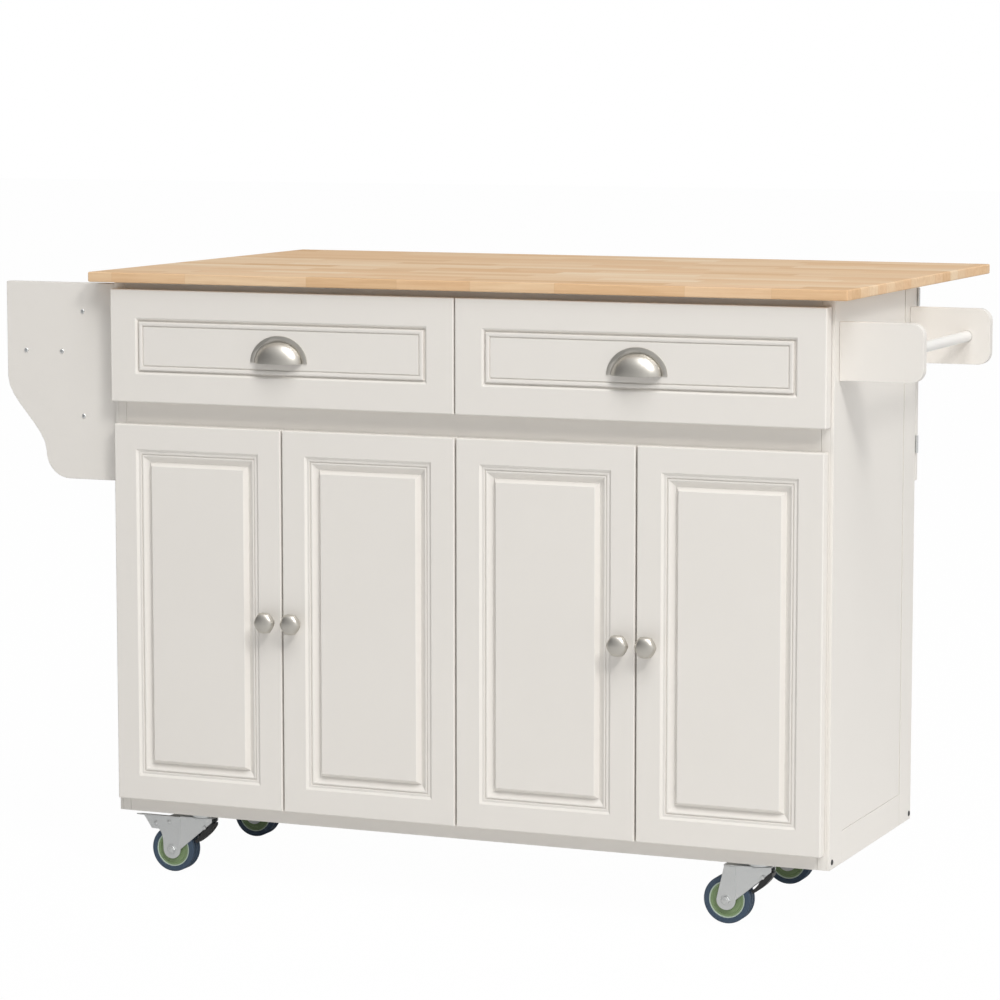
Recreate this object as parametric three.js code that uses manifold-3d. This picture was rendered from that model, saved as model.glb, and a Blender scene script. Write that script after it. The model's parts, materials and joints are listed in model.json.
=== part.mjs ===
// A drop leaf kitchen island on four casters: a painted cabinet with two drawers and four doors,
// a butcher block worktop, a hinged rear leaf on two swing brackets, a bottle rack at the left end
// and a towel rail at the right end. Millimetres, +X to the right, -Y to the front, +Z up.
// While it is built, X = 0 is the middle of the cabinet, Y = 0 the front of its frame and Z = 0 the
// floor. The finished group is moved so that its origin lies under the middle of its box.
import * as THREE from "three";
import { mergeVertices } from "three/addons/utils/BufferGeometryUtils.js";
import Module from "manifold-3d";

const wasm = await Module();
wasm.setup();

// ------------------------------------------------------------------ driving dimensions

// clearances
const fitGap = 0.3; // a glued or screwed joint, a shaft in its bore, a drawer on its runner
const frontGap = 0.8; // closed door or drawer front to the cabinet frame
const drawerSideGap = 2; // drawer box to the boards on either side of it
const drawerTopGap = 6; // drawer box to the rail above it

// the whole
const overallHeight = 915;
const casterHeight = 97; // floor to the underside of the cabinet

// cabinet
const cabinetWidth = 1127;
const cabinetDepth = 398;
const panelThickness = 18; // side panels and centre partition
const railThickness = 18; // front rails
const backThickness = 6;
const bottomThickness = 18;
const bottomLipLap = 9; // how far the bottom board's front lip rises behind the doors
const stileWidth = 57; // flat border at the front and rear of a side panel
const sideRailHeight = 47; // flat border at its foot
const sideRecess = 2; // how far its field lies behind the border
const shelfThickness = 16;
const shelfSetback = 22; // shelf edge behind the front of the frame
const shelfHeight = 285; // underside of a shelf above the bottom board
const topReveal = 10; // worktop to drawer front
const railReveal = 34; // drawer front to door
const bottomReveal = 22; // door to the underside of the cabinet
const railLap = 8; // middle rail behind the drawer fronts and the doors
const topRailLap = 22; // top rail behind the drawer fronts
const runnerWidth = 26;
const runnerThickness = 18;

// worktop and leaf
const worktopThickness = 15;
const worktopFrontOverhang = 32;
const worktopSideOverhang = 27.5;
const worktopRearOverhang = 15;
const worktopEdgeRadius = 2;
const leafDepth = 288;
const leafSeam = 1.5;
const leafHingeLength = 64;
const leafHingeReach = 34; // pin to the far edge of the plate on the leaf
const topHingeReach = 13; // pin to the far edge of the plate on the worktop
const leafHingeSpacing = 640; // between the two hinges
const leafHingePlate = 1.8;
const leafKnuckleRadius = 3;
const leafPinRadius = 1.6;

// drawers and doors
const drawerFrontHeight = 168;
const drawerFrontThickness = 22;
const drawerSideReveal = 4.5; // drawer front inside the side of the cabinet
const drawerSeam = 2;
const drawerWall = 12;
const drawerFloor = 9;
const drawerBackGap = 22; // drawer box to the back panel
const drawerMouldingInset = 43;
const drawerMouldingWidth = 12;
const drawerFieldDrop = 1.5; // the field inside the moulding, behind the face
const doorThickness = 19;
const doorSideReveal = 7.5; // outer door inside the side of the cabinet
const doorSeam = 2.5;
const doorMouldingInset = 39;
const doorMouldingWidth = 21;
const frontEdgeRadius = 2;

// knobs and cup pulls
const knobRadius = 16.5;
const knobDepth = 26;
const knobNeckRadius = 6;
const knobBaseRadius = 9;
const knobInset = 20; // from the free edge of its door
const pullWidth = 92;
const pullHeight = 38;
const pullDepth = 22;
const pullFlange = 7;
const pullFlangeThickness = 2;
const pullWall = 2;

// bottle rack at the left end
const rackWidth = 188;
const rackHeight = 297;
const rackDrop = 4; // top of the wings below the underside of the worktop
const rackPanel = 15; // thickness of the two wings
const rackInset = 5; // front wing behind the front of the frame, and rear wing likewise
const rackStraight = 145; // straight outer edge of a wing, from its top
const rackNeck = 122.5; // width of the lower part of a wing
const rackNeckHeight = 40; // height at which the S curve reaches the neck
const rackCurveEase = 36; // how far the S curve's tangents reach
const rackFootRadius = 40;
const rackBoard = 12; // thickness of the inner board and of the bottle shelf
const rackBoardReach = 51; // cabinet side to the inner board
const rackBoardHeight = 250;
const rackBoardDrop = 10; // its top edge below the top of the wings
const rackShelfDrop = 98; // bottle shelf top below the top of the wings
const rackShelfMargin = 6; // shelf edge inside the edge of the wings
const guardRadius = 5;
const guardReach = 175; // cabinet side to the guard rod
const guardRise = 52; // guard rod above the bottle shelf
const rackRodRadius = 8;
const rackRodReach = 120;
const rackRodDrop = 160; // towel rod below the top of the wings
const rodSocket = 8; // depth of a rod's blind hole

// towel rail at the right end
const armReach = 121;
const armHeight = 82;
const armThickness = 15;
const armInset = 20;
const armTopDrop = 32; // top of the arms below the underside of the worktop
const armRadius = 18;
const towelBarRadius = 8;
const towelBarReach = 86;

// leaf brackets
const bracketThickness = 11;
const bracketDepth = 185;
const bracketHeight = 292.5;
const bracketStraight = 99; // straight outer edge, from its top
const bracketNeck = 80;
const bracketNeckHeight = 80;
const bracketCurveEase = 50;
const bracketGap = 3; // folded bracket to the back of the cabinet
const bracketLeafGap = 0.5; // bracket to the underside of the leaf
const bracketHingeLength = 26;
const bracketHingeReach = 17; // pin to the far edge of a hinge plate
const bracketHingePlate = 1;
const bracketHingeDrop = 6; // upper hinge below the top of the bracket
const bracketHingeRise = 42; // lower hinge above the foot of the bracket
const bracketKnuckleRadius = 2.2;
const bracketPinRadius = 1;

// casters
const casterSideInset = 117.5; // swivel axis to the side of the cabinet
const casterFrontInset = 45;
const casterRearInset = 75;
const casterTrail = 46; // swivel axis to axle
const wheelRadius = 35;
const tyreWidth = 24;
const tyreDepth = 8;
const tyreGroove = 1.6;
const tyreShoulder = 2;
const hubWidth = 26.4;
const hubRimWidth = 22;
const hubRim = 4;
const hubWeb = 8;
const hubBossRadius = 9;
const axleRadius = 4;
const axleHeadRadius = 7;
const axleHeadDepth = 3.5;
const plateSize = 60;
const plateThickness = 2.5;
const plateCorner = 6;
const plateHoleRadius = 2.8;
const plateHoleInset = 8;
const raceRadius = 17;
const raceHeight = 7;
const kingpinRadius = 4;
const kingpinHeadRadius = 8;
const kingpinHeadDepth = 3;
const crownRadius = 20;
const crownThickness = 3;
const forkSheet = 2.2;
const forkEyeRadius = 14.5;
const forkToe = 3; // top of a leg's front edge, ahead of the axle
const forkHeelReach = 20; // swivel axis to the heel, where the cheeks end
const forkHeelHeight = 7;
const forkTaper = 3.7; // how far each cheek closes in from the fold to the heel
const flangeReach = 50; // axle to the tip of the stiffening flange
const flangeLip = 4;
const flangeRidgeReach = 59; // axle to the end of the ridge bent outwards along the flange's top
const flangeRidgeDepth = 4;
const flangeFootReach = 34;
const flangeFootRise = 30; // foot of the flange above the axle
const flangeRoot = 23;
const flangeRivetRadius = 3;
const flangeRivetHead = 1;
const flangeRivets = [
  { reach: 26.5, rise: 38.5 },
  { reach: 4, rise: 42 },
];
const pedalPinRadius = 2;
const pedalPinReach = 8;
const pedalPinDrop = 12; // pin below the underside of the crown
const pedalBarrelRadius = 4.5;
const pedalSideGap = 1;
const pedalReach = 13; // pin to the tip of the tread
const pedalRise = 2; // tip of the tread above the pin
const pedalThickness = 4;
const pedalBulge = 5; // how far the blade bows out between tread and shoe
const pedalShoeReach = 15.3; // pin to the brake shoe, towards the wheel
const pedalShoeDrop = 25.8;
const pedalShoeDepth = 3.5;

// ------------------------------------------------------------------ heights and places that follow

const worktopUnderside = overallHeight - worktopThickness;
const cabinetTop = worktopUnderside - fitGap;
const cabinetBottom = casterHeight;
const bottomBoardTop = cabinetBottom + bottomThickness;
const drawerFrontTop = worktopUnderside - topReveal;
const drawerFrontBottom = drawerFrontTop - drawerFrontHeight;
const doorTop = drawerFrontBottom - railReveal;
const doorBottom = cabinetBottom + bottomReveal;
const middleRailBottom = doorTop - railLap;
const middleRailTop = drawerFrontBottom + railLap;
const topRailBottom = drawerFrontTop - topRailLap;
const cabinetSide = cabinetWidth / 2;
const innerSide = cabinetSide - panelThickness;
const partitionSide = panelThickness / 2;
const backFace = cabinetDepth - backThickness; // inner face of the back panel
const worktopRear = cabinetDepth + worktopRearOverhang;
const worktopWidth = cabinetWidth + 2 * worktopSideOverhang;
const leafFront = worktopRear + leafSeam;
const leafRear = leafFront + leafDepth;
const doorFace = -frontGap - doorThickness;
const drawerFace = -frontGap - drawerFrontThickness;

// ------------------------------------------------------------------ materials

const paint = finish("painted board", 0xe0ddd6, 0.45, 0);
const whitePaint = finish("painted rod", 0xeae8e3, 0.45, 0);
const butcherBlock = finish("butcher block", 0xe3bd8b, 0.5, 0);
const paleWood = finish("drawer wood", 0xe4d2b4, 0.6, 0);
const nickel = finish("brushed nickel", 0xb9b4ac, 0.35, 1);
const zinc = finish("zinc plate", 0xc2c4c6, 0.4, 1);
const rubber = finish("wheel rubber", 0x3d4f63, 0.75, 0);
const hubPlastic = finish("hub plastic", 0x7d9468, 0.5, 0);
const blackPlastic = finish("black plastic", 0x26272a, 0.5, 0);

function finish(name, color, roughness, metalness) {
  const material = new THREE.MeshStandardMaterial({ color, roughness, metalness });
  material.name = name;
  return material;
}

// ------------------------------------------------------------------ solids

// A closed geometry as a solid that can be joined and cut.
function toSolid(geometry) {
  const bare = geometry.index ? geometry.toNonIndexed() : geometry.clone();
  bare.deleteAttribute("normal");
  bare.deleteAttribute("uv");
  const merged = mergeVertices(bare, 1e-4);
  const mesh = new wasm.Mesh({
    numProp: 3,
    vertProperties: merged.attributes.position.array,
    triVerts: new Uint32Array(merged.index.array),
  });
  return new wasm.Manifold(mesh);
}

function toGeometry(solid) {
  const mesh = solid.getMesh();
  const geometry = new THREE.BufferGeometry();
  geometry.setAttribute("position", new THREE.BufferAttribute(mesh.vertProperties, 3));
  geometry.setIndex(new THREE.BufferAttribute(mesh.triVerts, 1));
  geometry.computeVertexNormals();
  return geometry;
}

function join(...geometries) {
  const solids = geometries.map(toSolid);
  return toGeometry(solids.reduce((whole, next) => whole.add(next)));
}

function cut(geometry, ...tools) {
  return toGeometry(tools.map(toSolid).reduce((rest, tool) => rest.subtract(tool), toSolid(geometry)));
}

function box([x0, x1], [y0, y1], [z0, z1]) {
  const geometry = new THREE.BoxGeometry(x1 - x0, y1 - y0, z1 - z0);
  return geometry.translate((x0 + x1) / 2, (y0 + y1) / 2, (z0 + z1) / 2);
}

const alongX = new THREE.Matrix4().makeBasis(
  new THREE.Vector3(0, 1, 0),
  new THREE.Vector3(0, 0, 1),
  new THREE.Vector3(1, 0, 0),
);

// A cylinder from one end to the other along an axis, centred on the other two coordinates.
function rod(axis, [from, to], [a, b], radius, sides = 20) {
  const geometry = new THREE.CylinderGeometry(radius, radius, to - from, sides);
  const middle = (from + to) / 2;
  if (axis === "x") return geometry.rotateZ(Math.PI / 2).translate(middle, a, b);
  if (axis === "y") return geometry.translate(a, middle, b);
  return geometry.rotateX(Math.PI / 2).translate(a, b, middle);
}

// A shape drawn in X and Z, as thick as the span in Y.
function uprightPlate(shape, [y0, y1], curveSegments = 8) {
  const options = { depth: y1 - y0, bevelEnabled: false, curveSegments };
  return new THREE.ExtrudeGeometry(shape, options).rotateX(Math.PI / 2).translate(0, y1, 0);
}

// A shape drawn in X and Y, as thick as the span in Z.
function flatPlate(shape, [z0, z1], curveSegments = 4) {
  const options = { depth: z1 - z0, bevelEnabled: false, curveSegments };
  return new THREE.ExtrudeGeometry(shape, options).translate(0, 0, z0);
}

function roundedRectangle(width, height, radius) {
  const x = width / 2;
  const y = height / 2;
  const shape = new THREE.Shape();
  shape.moveTo(-x + radius, -y);
  shape.lineTo(x - radius, -y);
  shape.absarc(x - radius, -y + radius, radius, -Math.PI / 2, 0);
  shape.absarc(x - radius, y - radius, radius, 0, Math.PI / 2);
  shape.absarc(-x + radius, y - radius, radius, Math.PI / 2, Math.PI);
  shape.absarc(-x + radius, -y + radius, radius, Math.PI, 1.5 * Math.PI);
  return shape;
}

// A rectangular board whose faces and edges follow a routed profile. Each ring of the profile is the
// board's outline drawn in by an inset, at a height above its back; the first and last are capped.
function routedBoard(width, height, rings) {
  const points = [];
  const faces = [];
  for (const [inset, level] of rings) {
    const x = width / 2 - inset;
    const y = height / 2 - inset;
    points.push(-x, -y, level, x, -y, level, x, y, level, -x, y, level);
  }
  for (let ring = 0; ring + 1 < rings.length; ring++) {
    for (let corner = 0; corner < 4; corner++) {
      const a = 4 * ring + corner;
      const b = 4 * ring + ((corner + 1) % 4);
      faces.push(a, b, b + 4, a, b + 4, a + 4);
    }
  }
  const last = 4 * (rings.length - 1);
  faces.push(0, 2, 1, 0, 3, 2, last, last + 1, last + 2, last, last + 2, last + 3);
  const geometry = new THREE.BufferGeometry();
  geometry.setAttribute("position", new THREE.Float32BufferAttribute(points, 3));
  geometry.setIndex(faces);
  geometry.computeVertexNormals();
  return geometry;
}

// Part of a routed profile: an arc about a centre, in steps, from one angle to another.
function profileArc([inset, level], radius, fromDegrees, toDegrees, steps) {
  return Array.from({ length: steps + 1 }, (_, step) => {
    const angle = THREE.MathUtils.degToRad(fromDegrees + ((toDegrees - fromDegrees) * step) / steps);
    return [inset - radius * Math.cos(angle), level + radius * Math.sin(angle)];
  });
}

const island = new THREE.Group();

function add(name, geometry, material, [x, y, z] = [0, 0, 0]) {
  const mesh = new THREE.Mesh(geometry, material);
  mesh.name = name;
  mesh.position.set(x, y, z);
  island.add(mesh);
  return mesh;
}

const ends = [
  { name: "left", side: -1 },
  { name: "right", side: 1 },
];

// A span of X given as distances from the middle, on one side of it.
function spanOn(side, near, far) {
  return side < 0 ? [-far, -near] : [near, far];
}

// ------------------------------------------------------------------ cabinet

function makeSidePanel(side) {
  const height = [cabinetBottom, cabinetTop];
  const board = box(spanOn(side, innerSide, cabinetSide), [0, cabinetDepth], height);
  const field = box(
    spanOn(side, cabinetSide - sideRecess, cabinetSide + sideRecess),
    [stileWidth, cabinetDepth - stileWidth],
    [cabinetBottom + sideRailHeight, cabinetTop + sideRecess],
  );
  return cut(board, field);
}

// The bottom board carries a taller lip along its front, behind the feet of the doors.
function makeBottomBoard() {
  const x = [-innerSide + fitGap, innerSide - fitGap];
  const board = box(x, [0, backFace - fitGap], [cabinetBottom, bottomBoardTop]);
  const lip = box(x, [0, railThickness], [cabinetBottom, doorBottom + bottomLipLap]);
  return join(board, lip);
}

// The partition is notched round the three front rails.
function makePartition() {
  const board = box(
    [-partitionSide, partitionSide],
    [0, backFace - fitGap],
    [bottomBoardTop + fitGap, cabinetTop],
  );
  const notchDepth = [-fitGap, railThickness + fitGap];
  const notches = [
    [cabinetBottom, doorBottom + bottomLipLap + fitGap],
    [middleRailBottom - fitGap, middleRailTop + fitGap],
    [topRailBottom - fitGap, cabinetTop + fitGap],
  ];
  const tools = notches.map((z) => box([-panelThickness, panelThickness], notchDepth, z));
  return cut(board, ...tools);
}

// The middle rail is one frame with the four runners on which the drawers slide.
function makeMiddleRail() {
  const rail = box(
    [-innerSide + fitGap, innerSide - fitGap],
    [0, railThickness],
    [middleRailBottom, middleRailTop],
  );
  const runners = ends.flatMap(({ side }) =>
    [innerSide - fitGap - runnerWidth, partitionSide + fitGap].map((near) =>
      box(
        spanOn(side, near, near + runnerWidth),
        [railThickness / 2, backFace - fitGap],
        [middleRailTop - runnerThickness, middleRailTop],
      ),
    ),
  );
  return join(rail, ...runners);
}

function addCabinet() {
  const clearWidth = [-innerSide + fitGap, innerSide - fitGap];
  for (const { name, side } of ends) add(`side_panel_${name}`, makeSidePanel(side), paint);
  add("bottom_board", makeBottomBoard(), paint);
  add("centre_partition", makePartition(), paint);
  add("back_panel", box(clearWidth, [backFace, cabinetDepth], [cabinetBottom, cabinetTop]), paint);
  add("middle_rail", makeMiddleRail(), paint);
  add("top_rail", box(clearWidth, [0, railThickness], [topRailBottom, cabinetTop]), paint);
  const shelfBottom = bottomBoardTop + shelfHeight;
  for (const { name, side } of ends) {
    const shelf = box(
      spanOn(side, partitionSide + fitGap, innerSide - fitGap),
      [shelfSetback, backFace - fitGap],
      [shelfBottom, shelfBottom + shelfThickness],
    );
    add(`shelf_${name}`, shelf, paint);
  }
}

// ------------------------------------------------------------------ worktop and leaf

function makeTopBoard(width, depth) {
  const r = worktopEdgeRadius;
  const t = worktopThickness;
  const lower = profileArc([r, r], r, -90, 0, 3);
  const upper = profileArc([r, t - r], r, 0, 90, 3);
  return routedBoard(width, depth, [...lower, ...upper]);
}

// Half of a butt hinge. The pin lies on the local Z axis and the plate beside it, between two
// distances from the pin (reach) and two levels across it. Knuckles fill the given spans of Z.
function makeHingeHalf({ reach, levels, length, spans, knuckle, pin, holdsPin }) {
  const plate = box(reach, levels, [0, length]);
  const middle = (reach[0] + reach[1]) / 2;
  const tabs = spans.map((z) => box([Math.min(middle, 0), Math.max(middle, 0)], levels, z));
  const barrels = spans.map((z) => rod("z", z, [0, 0], knuckle, 12));
  const body = join(plate, ...tabs, ...barrels);
  if (holdsPin) return join(body, rod("z", [0, length], [0, 0], pin, 12));
  return cut(body, rod("z", [-1, length + 1], [0, 0], pin + fitGap, 12));
}

// The spans of the knuckles, shared out along a hinge: odd ones on the fixed half, even ones on the
// swinging half.
function knuckleSpans(length, count, parity) {
  const pitch = length / count;
  const spans = [];
  for (let i = parity; i < count; i += 2) {
    const gap = parity ? fitGap : 0;
    spans.push([i * pitch + gap, (i + 1) * pitch - gap]);
  }
  return spans;
}

const leafPinDrop = leafKnuckleRadius + fitGap;
const leafPin = {
  y: worktopRear + leafSeam / 2,
  z: worktopUnderside - leafPinDrop,
};

function makeLeafHingeHalf(toLeaf) {
  const near = leafKnuckleRadius + fitGap;
  const top = toLeaf ? leafKnuckleRadius : leafPinDrop + fitGap;
  return makeHingeHalf({
    reach: toLeaf ? [near, leafHingeReach] : [-topHingeReach, -near],
    levels: [leafKnuckleRadius - leafHingePlate, top],
    length: leafHingeLength,
    spans: knuckleSpans(leafHingeLength, 5, toLeaf ? 1 : 0),
    knuckle: leafKnuckleRadius,
    pin: leafPinRadius,
    holdsPin: !toLeaf,
  }).applyMatrix4(alongX);
}

function leafHingeStart(side) {
  return (side * leafHingeSpacing) / 2 - leafHingeLength / 2;
}

// The worktop and the fixed halves of the two leaf hinges, which are screwed under its rear edge.
function makeWorktop() {
  const depth = worktopRear + worktopFrontOverhang;
  const middle = (worktopRear - worktopFrontOverhang) / 2;
  const board = makeTopBoard(worktopWidth, depth).translate(0, middle, worktopUnderside);
  const halves = ends.map(({ side }) =>
    makeLeafHingeHalf(false).translate(leafHingeStart(side), leafPin.y, leafPin.z),
  );
  return join(board, ...halves);
}

function addTops() {
  const middle = (leafFront + leafRear) / 2;
  add("worktop", makeWorktop(), butcherBlock);
  add("drop_leaf", makeTopBoard(worktopWidth, leafDepth), butcherBlock, [0, middle, worktopUnderside]);
  for (const { name, side } of ends) {
    const place = [leafHingeStart(side), leafPin.y, leafPin.z];
    add(`leaf_hinge_${name}`, makeLeafHingeHalf(true), zinc, place);
  }
}

// ------------------------------------------------------------------ leaf brackets

const bracketPin = {
  x: cabinetSide + bracketKnuckleRadius, // clear of the corner of the side panel
  y: cabinetDepth + bracketGap / 2,
};
const bracketTop = worktopUnderside - bracketLeafGap;
const bracketBottom = bracketTop - bracketHeight;
const bracketHingePlaces = [
  { name: "upper", z: bracketTop - bracketHingeDrop - bracketHingeLength },
  { name: "lower", z: bracketBottom + bracketHingeRise },
];

// The outline that a wing or a bracket shares: square at the top, an S curve in to a narrower neck
// and a round foot. Distances run out from the edge that is hinged or screwed to the cabinet.
function sweptOutline({ edge, side, top, width, height, straight, neck, neckHeight, ease, foot }) {
  const x = (distance) => edge + side * distance;
  const bottom = top - height;
  const shape = new THREE.Shape();
  shape.moveTo(x(0), top);
  shape.lineTo(x(width), top);
  shape.lineTo(x(width), top - straight);
  shape.bezierCurveTo(
    x(width),
    top - straight - ease,
    x(neck),
    bottom + neckHeight + ease,
    x(neck),
    bottom + neckHeight,
  );
  if (neckHeight > foot) shape.lineTo(x(neck), bottom + foot);
  const start = side > 0 ? 0 : Math.PI;
  const end = side > 0 ? -Math.PI / 2 : 1.5 * Math.PI;
  shape.absarc(x(neck - foot), bottom + foot, foot, start, end, side > 0);
  if (neck > foot) shape.lineTo(x(0), bottom);
  return shape;
}

function makeBracketHingeHalf(side, toBracket) {
  const near = bracketKnuckleRadius + fitGap;
  const half = bracketGap / 2;
  return makeHingeHalf({
    reach: side > 0 ? [-bracketHingeReach, -near] : [near, bracketHingeReach],
    levels: toBracket ? [half - bracketHingePlate - fitGap, half + fitGap] : [fitGap - half, -fitGap / 2],
    length: bracketHingeLength,
    spans: knuckleSpans(bracketHingeLength, 3, toBracket ? 1 : 0),
    knuckle: bracketKnuckleRadius,
    pin: bracketPinRadius,
    holdsPin: !toBracket,
  });
}

// A bracket is drawn folded flat against the back of the cabinet, with the swinging halves of its
// two hinges, which are screwed to its inner face.
function makeBracket(side) {
  const shape = sweptOutline({
    edge: side * cabinetSide,
    side: -side,
    top: bracketTop,
    width: bracketDepth,
    height: bracketHeight,
    straight: bracketStraight,
    neck: bracketNeck,
    neckHeight: bracketNeckHeight,
    ease: bracketCurveEase,
    foot: bracketNeck,
  });
  const inner = cabinetDepth + bracketGap;
  const board = uprightPlate(shape, [inner, inner + bracketThickness], 10);
  const halves = bracketHingePlaces.map(({ z }) =>
    makeBracketHingeHalf(side, true).translate(side * bracketPin.x, bracketPin.y, z),
  );
  return join(board, ...halves);
}

function addBrackets() {
  for (const { name, side } of ends) {
    add(`bracket_${name}`, makeBracket(side), paint);
    for (const place of bracketHingePlaces) {
      const at = [side * bracketPin.x, bracketPin.y, place.z];
      add(`bracket_hinge_${name}_${place.name}`, makeBracketHingeHalf(side, false), zinc, at);
    }
  }
}

// ------------------------------------------------------------------ drawers and doors

// A drawer front: rounded edges, a narrow sunk moulding and a flat field.
function makeDrawerFront(width) {
  const r = frontEdgeRadius;
  const t = drawerFrontThickness;
  const start = drawerMouldingInset;
  const bead = drawerMouldingWidth / 4;
  const profile = [
    [0, 0],
    ...profileArc([r, t - r], r, 0, 90, 3),
    [start, t],
    [start + bead / 2, t - bead],
    ...profileArc([start + 2 * bead, t - bead], bead, 0, 90, 3),
    [start + 3 * bead, t - bead],
    [start + 4 * bead, t - drawerFieldDrop],
  ];
  return routedBoard(width, drawerFrontHeight, profile).rotateX(Math.PI / 2);
}

// A door: rounded edges, an ogee moulding down to a groove and a raised field.
function makeDoor(width, height) {
  const r = frontEdgeRadius;
  const t = doorThickness;
  const start = doorMouldingInset;
  const step = doorMouldingWidth / 7;
  const profile = [
    [0, 0],
    ...profileArc([r, t - r], r, 0, 90, 3),
    [start, t],
    [start + step / 2, t - step],
    ...profileArc([start + 2.5 * step, t - 2.6 * step], 2 * step, 35, 90, 3),
    [start + 3.4 * step, t - 1.2 * step],
    [start + 4 * step, t - 2 * step],
    [start + 5 * step, t - 2 * step],
    [start + 7 * step, t - step / 3],
  ];
  return routedBoard(width, height, profile).rotateX(Math.PI / 2);
}

function makeKnob() {
  const profile = [
    [0, 0],
    [knobBaseRadius, 0],
    [knobBaseRadius, 2],
    [knobNeckRadius, 6],
    [knobNeckRadius, knobDepth * 0.45],
    [knobRadius - 2, knobDepth * 0.58],
    [knobRadius, knobDepth * 0.7],
    [knobRadius - 1, knobDepth * 0.82],
    [knobRadius * 0.62, knobDepth * 0.95],
    [0, knobDepth],
  ];
  const points = profile.map(([x, y]) => new THREE.Vector2(x, y));
  return new THREE.LatheGeometry(points, 24).rotateX(Math.PI);
}

// A half-round outline with its straight side at the foot.
function archOutline(width, height) {
  const shape = new THREE.Shape();
  shape.moveTo(width / 2, 0);
  shape.absellipse(0, 0, width / 2, height, 0, Math.PI);
  shape.lineTo(width / 2, 0);
  return shape;
}

// A cup pull: a quarter of an ellipsoid, hollow and open at its foot and back, with a flat flange.
function makeCupPull() {
  const bowl = (shrink) => {
    const shell = new THREE.SphereGeometry(1, 28, 16);
    const rise = pullHeight - pullFlange - shrink;
    return shell.scale(pullWidth / 2 - pullFlange - shrink, pullDepth - shrink, rise);
  };
  const keep = box([-pullWidth, pullWidth], [-2 * pullDepth, 0], [0, 2 * pullHeight]);
  const flange = uprightPlate(archOutline(pullWidth, pullHeight), [-pullFlangeThickness, 0], 14);
  const inner = toSolid(bowl(pullWall));
  const outer = toSolid(bowl(0)).intersect(toSolid(keep));
  return toGeometry(outer.add(toSolid(flange)).subtract(inner));
}

function makeDrawerBox(width, depth, height) {
  const outer = box([-width / 2, width / 2], [0, depth], [0, height]);
  const inner = box(
    [-width / 2 + drawerWall, width / 2 - drawerWall],
    [drawerWall, depth - drawerWall],
    [drawerFloor, height + drawerWall],
  );
  return cut(outer, inner);
}

function addDrawers() {
  const frontWidth = cabinetSide - drawerSideReveal - drawerSeam / 2;
  const boxWidth = innerSide - partitionSide - 2 * drawerSideGap;
  const boxFront = fitGap - frontGap;
  const boxDepth = backFace - drawerBackGap - boxFront;
  const boxBottom = middleRailTop + fitGap;
  const boxHeight = topRailBottom - drawerTopGap - boxBottom;
  for (const { name, side } of ends) {
    const frontX = (side * (drawerSeam + frontWidth)) / 2;
    const middle = (drawerFrontTop + drawerFrontBottom) / 2;
    add(`drawer_front_${name}`, makeDrawerFront(frontWidth), paint, [frontX, -frontGap, middle]);
    const boxPlace = [(side * (innerSide + partitionSide)) / 2, boxFront, boxBottom];
    add(`drawer_box_${name}`, makeDrawerBox(boxWidth, boxDepth, boxHeight), paleWood, boxPlace);
    const pullPlace = [frontX, drawerFace + drawerFieldDrop - fitGap, middle - pullHeight / 2];
    add(`cup_pull_${name}`, makeCupPull(), nickel, pullPlace);
  }
}

// Four equal doors in two pairs. The knobs of a pair stand either side of the seam between them.
function addDoors() {
  const count = 4;
  const width = (cabinetWidth - 2 * doorSideReveal - (count - 1) * doorSeam) / count;
  const height = doorTop - doorBottom;
  const middle = (doorTop + doorBottom) / 2;
  for (let i = 0; i < count; i++) {
    const x = doorSideReveal - cabinetSide + width / 2 + i * (width + doorSeam);
    const freeSide = i % 2 ? -1 : 1;
    add(`door_${i + 1}`, makeDoor(width, height), paint, [x, -frontGap, middle]);
    const knobX = x + freeSide * (width / 2 - knobInset);
    add(`knob_${i + 1}`, makeKnob(), nickel, [knobX, doorFace - fitGap, middle]);
  }
}

// ------------------------------------------------------------------ bottle rack and towel rail

const rackTop = worktopUnderside - rackDrop;
const rackWings = [
  { name: "front", y: [rackInset, rackInset + rackPanel] },
  { name: "rear", y: [cabinetDepth - rackInset - rackPanel, cabinetDepth - rackInset] },
];
const rackRods = [
  { name: "bottle_guard", reach: guardReach, z: rackTop - rackShelfDrop + guardRise, radius: guardRadius },
  { name: "rack_towel_rod", reach: rackRodReach, z: rackTop - rackRodDrop, radius: rackRodRadius },
];

// The span of Y between two facing plates, grown or drawn in by a margin at each end.
function spanBetween(plates, margin) {
  return [plates[0].y[1] - margin, plates[1].y[0] + margin];
}

function makeWing(y) {
  const shape = sweptOutline({
    edge: -cabinetSide - fitGap,
    side: -1,
    top: rackTop,
    width: rackWidth - fitGap,
    height: rackHeight,
    straight: rackStraight,
    neck: rackNeck,
    neckHeight: rackNeckHeight,
    ease: rackCurveEase,
    foot: rackFootRadius,
  });
  const sockets = rackRods.map(({ reach, z, radius }) =>
    rod("y", spanBetween(rackWings, rodSocket), [-cabinetSide - reach, z], radius + fitGap),
  );
  return cut(uprightPlate(shape, y), ...sockets);
}

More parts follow.
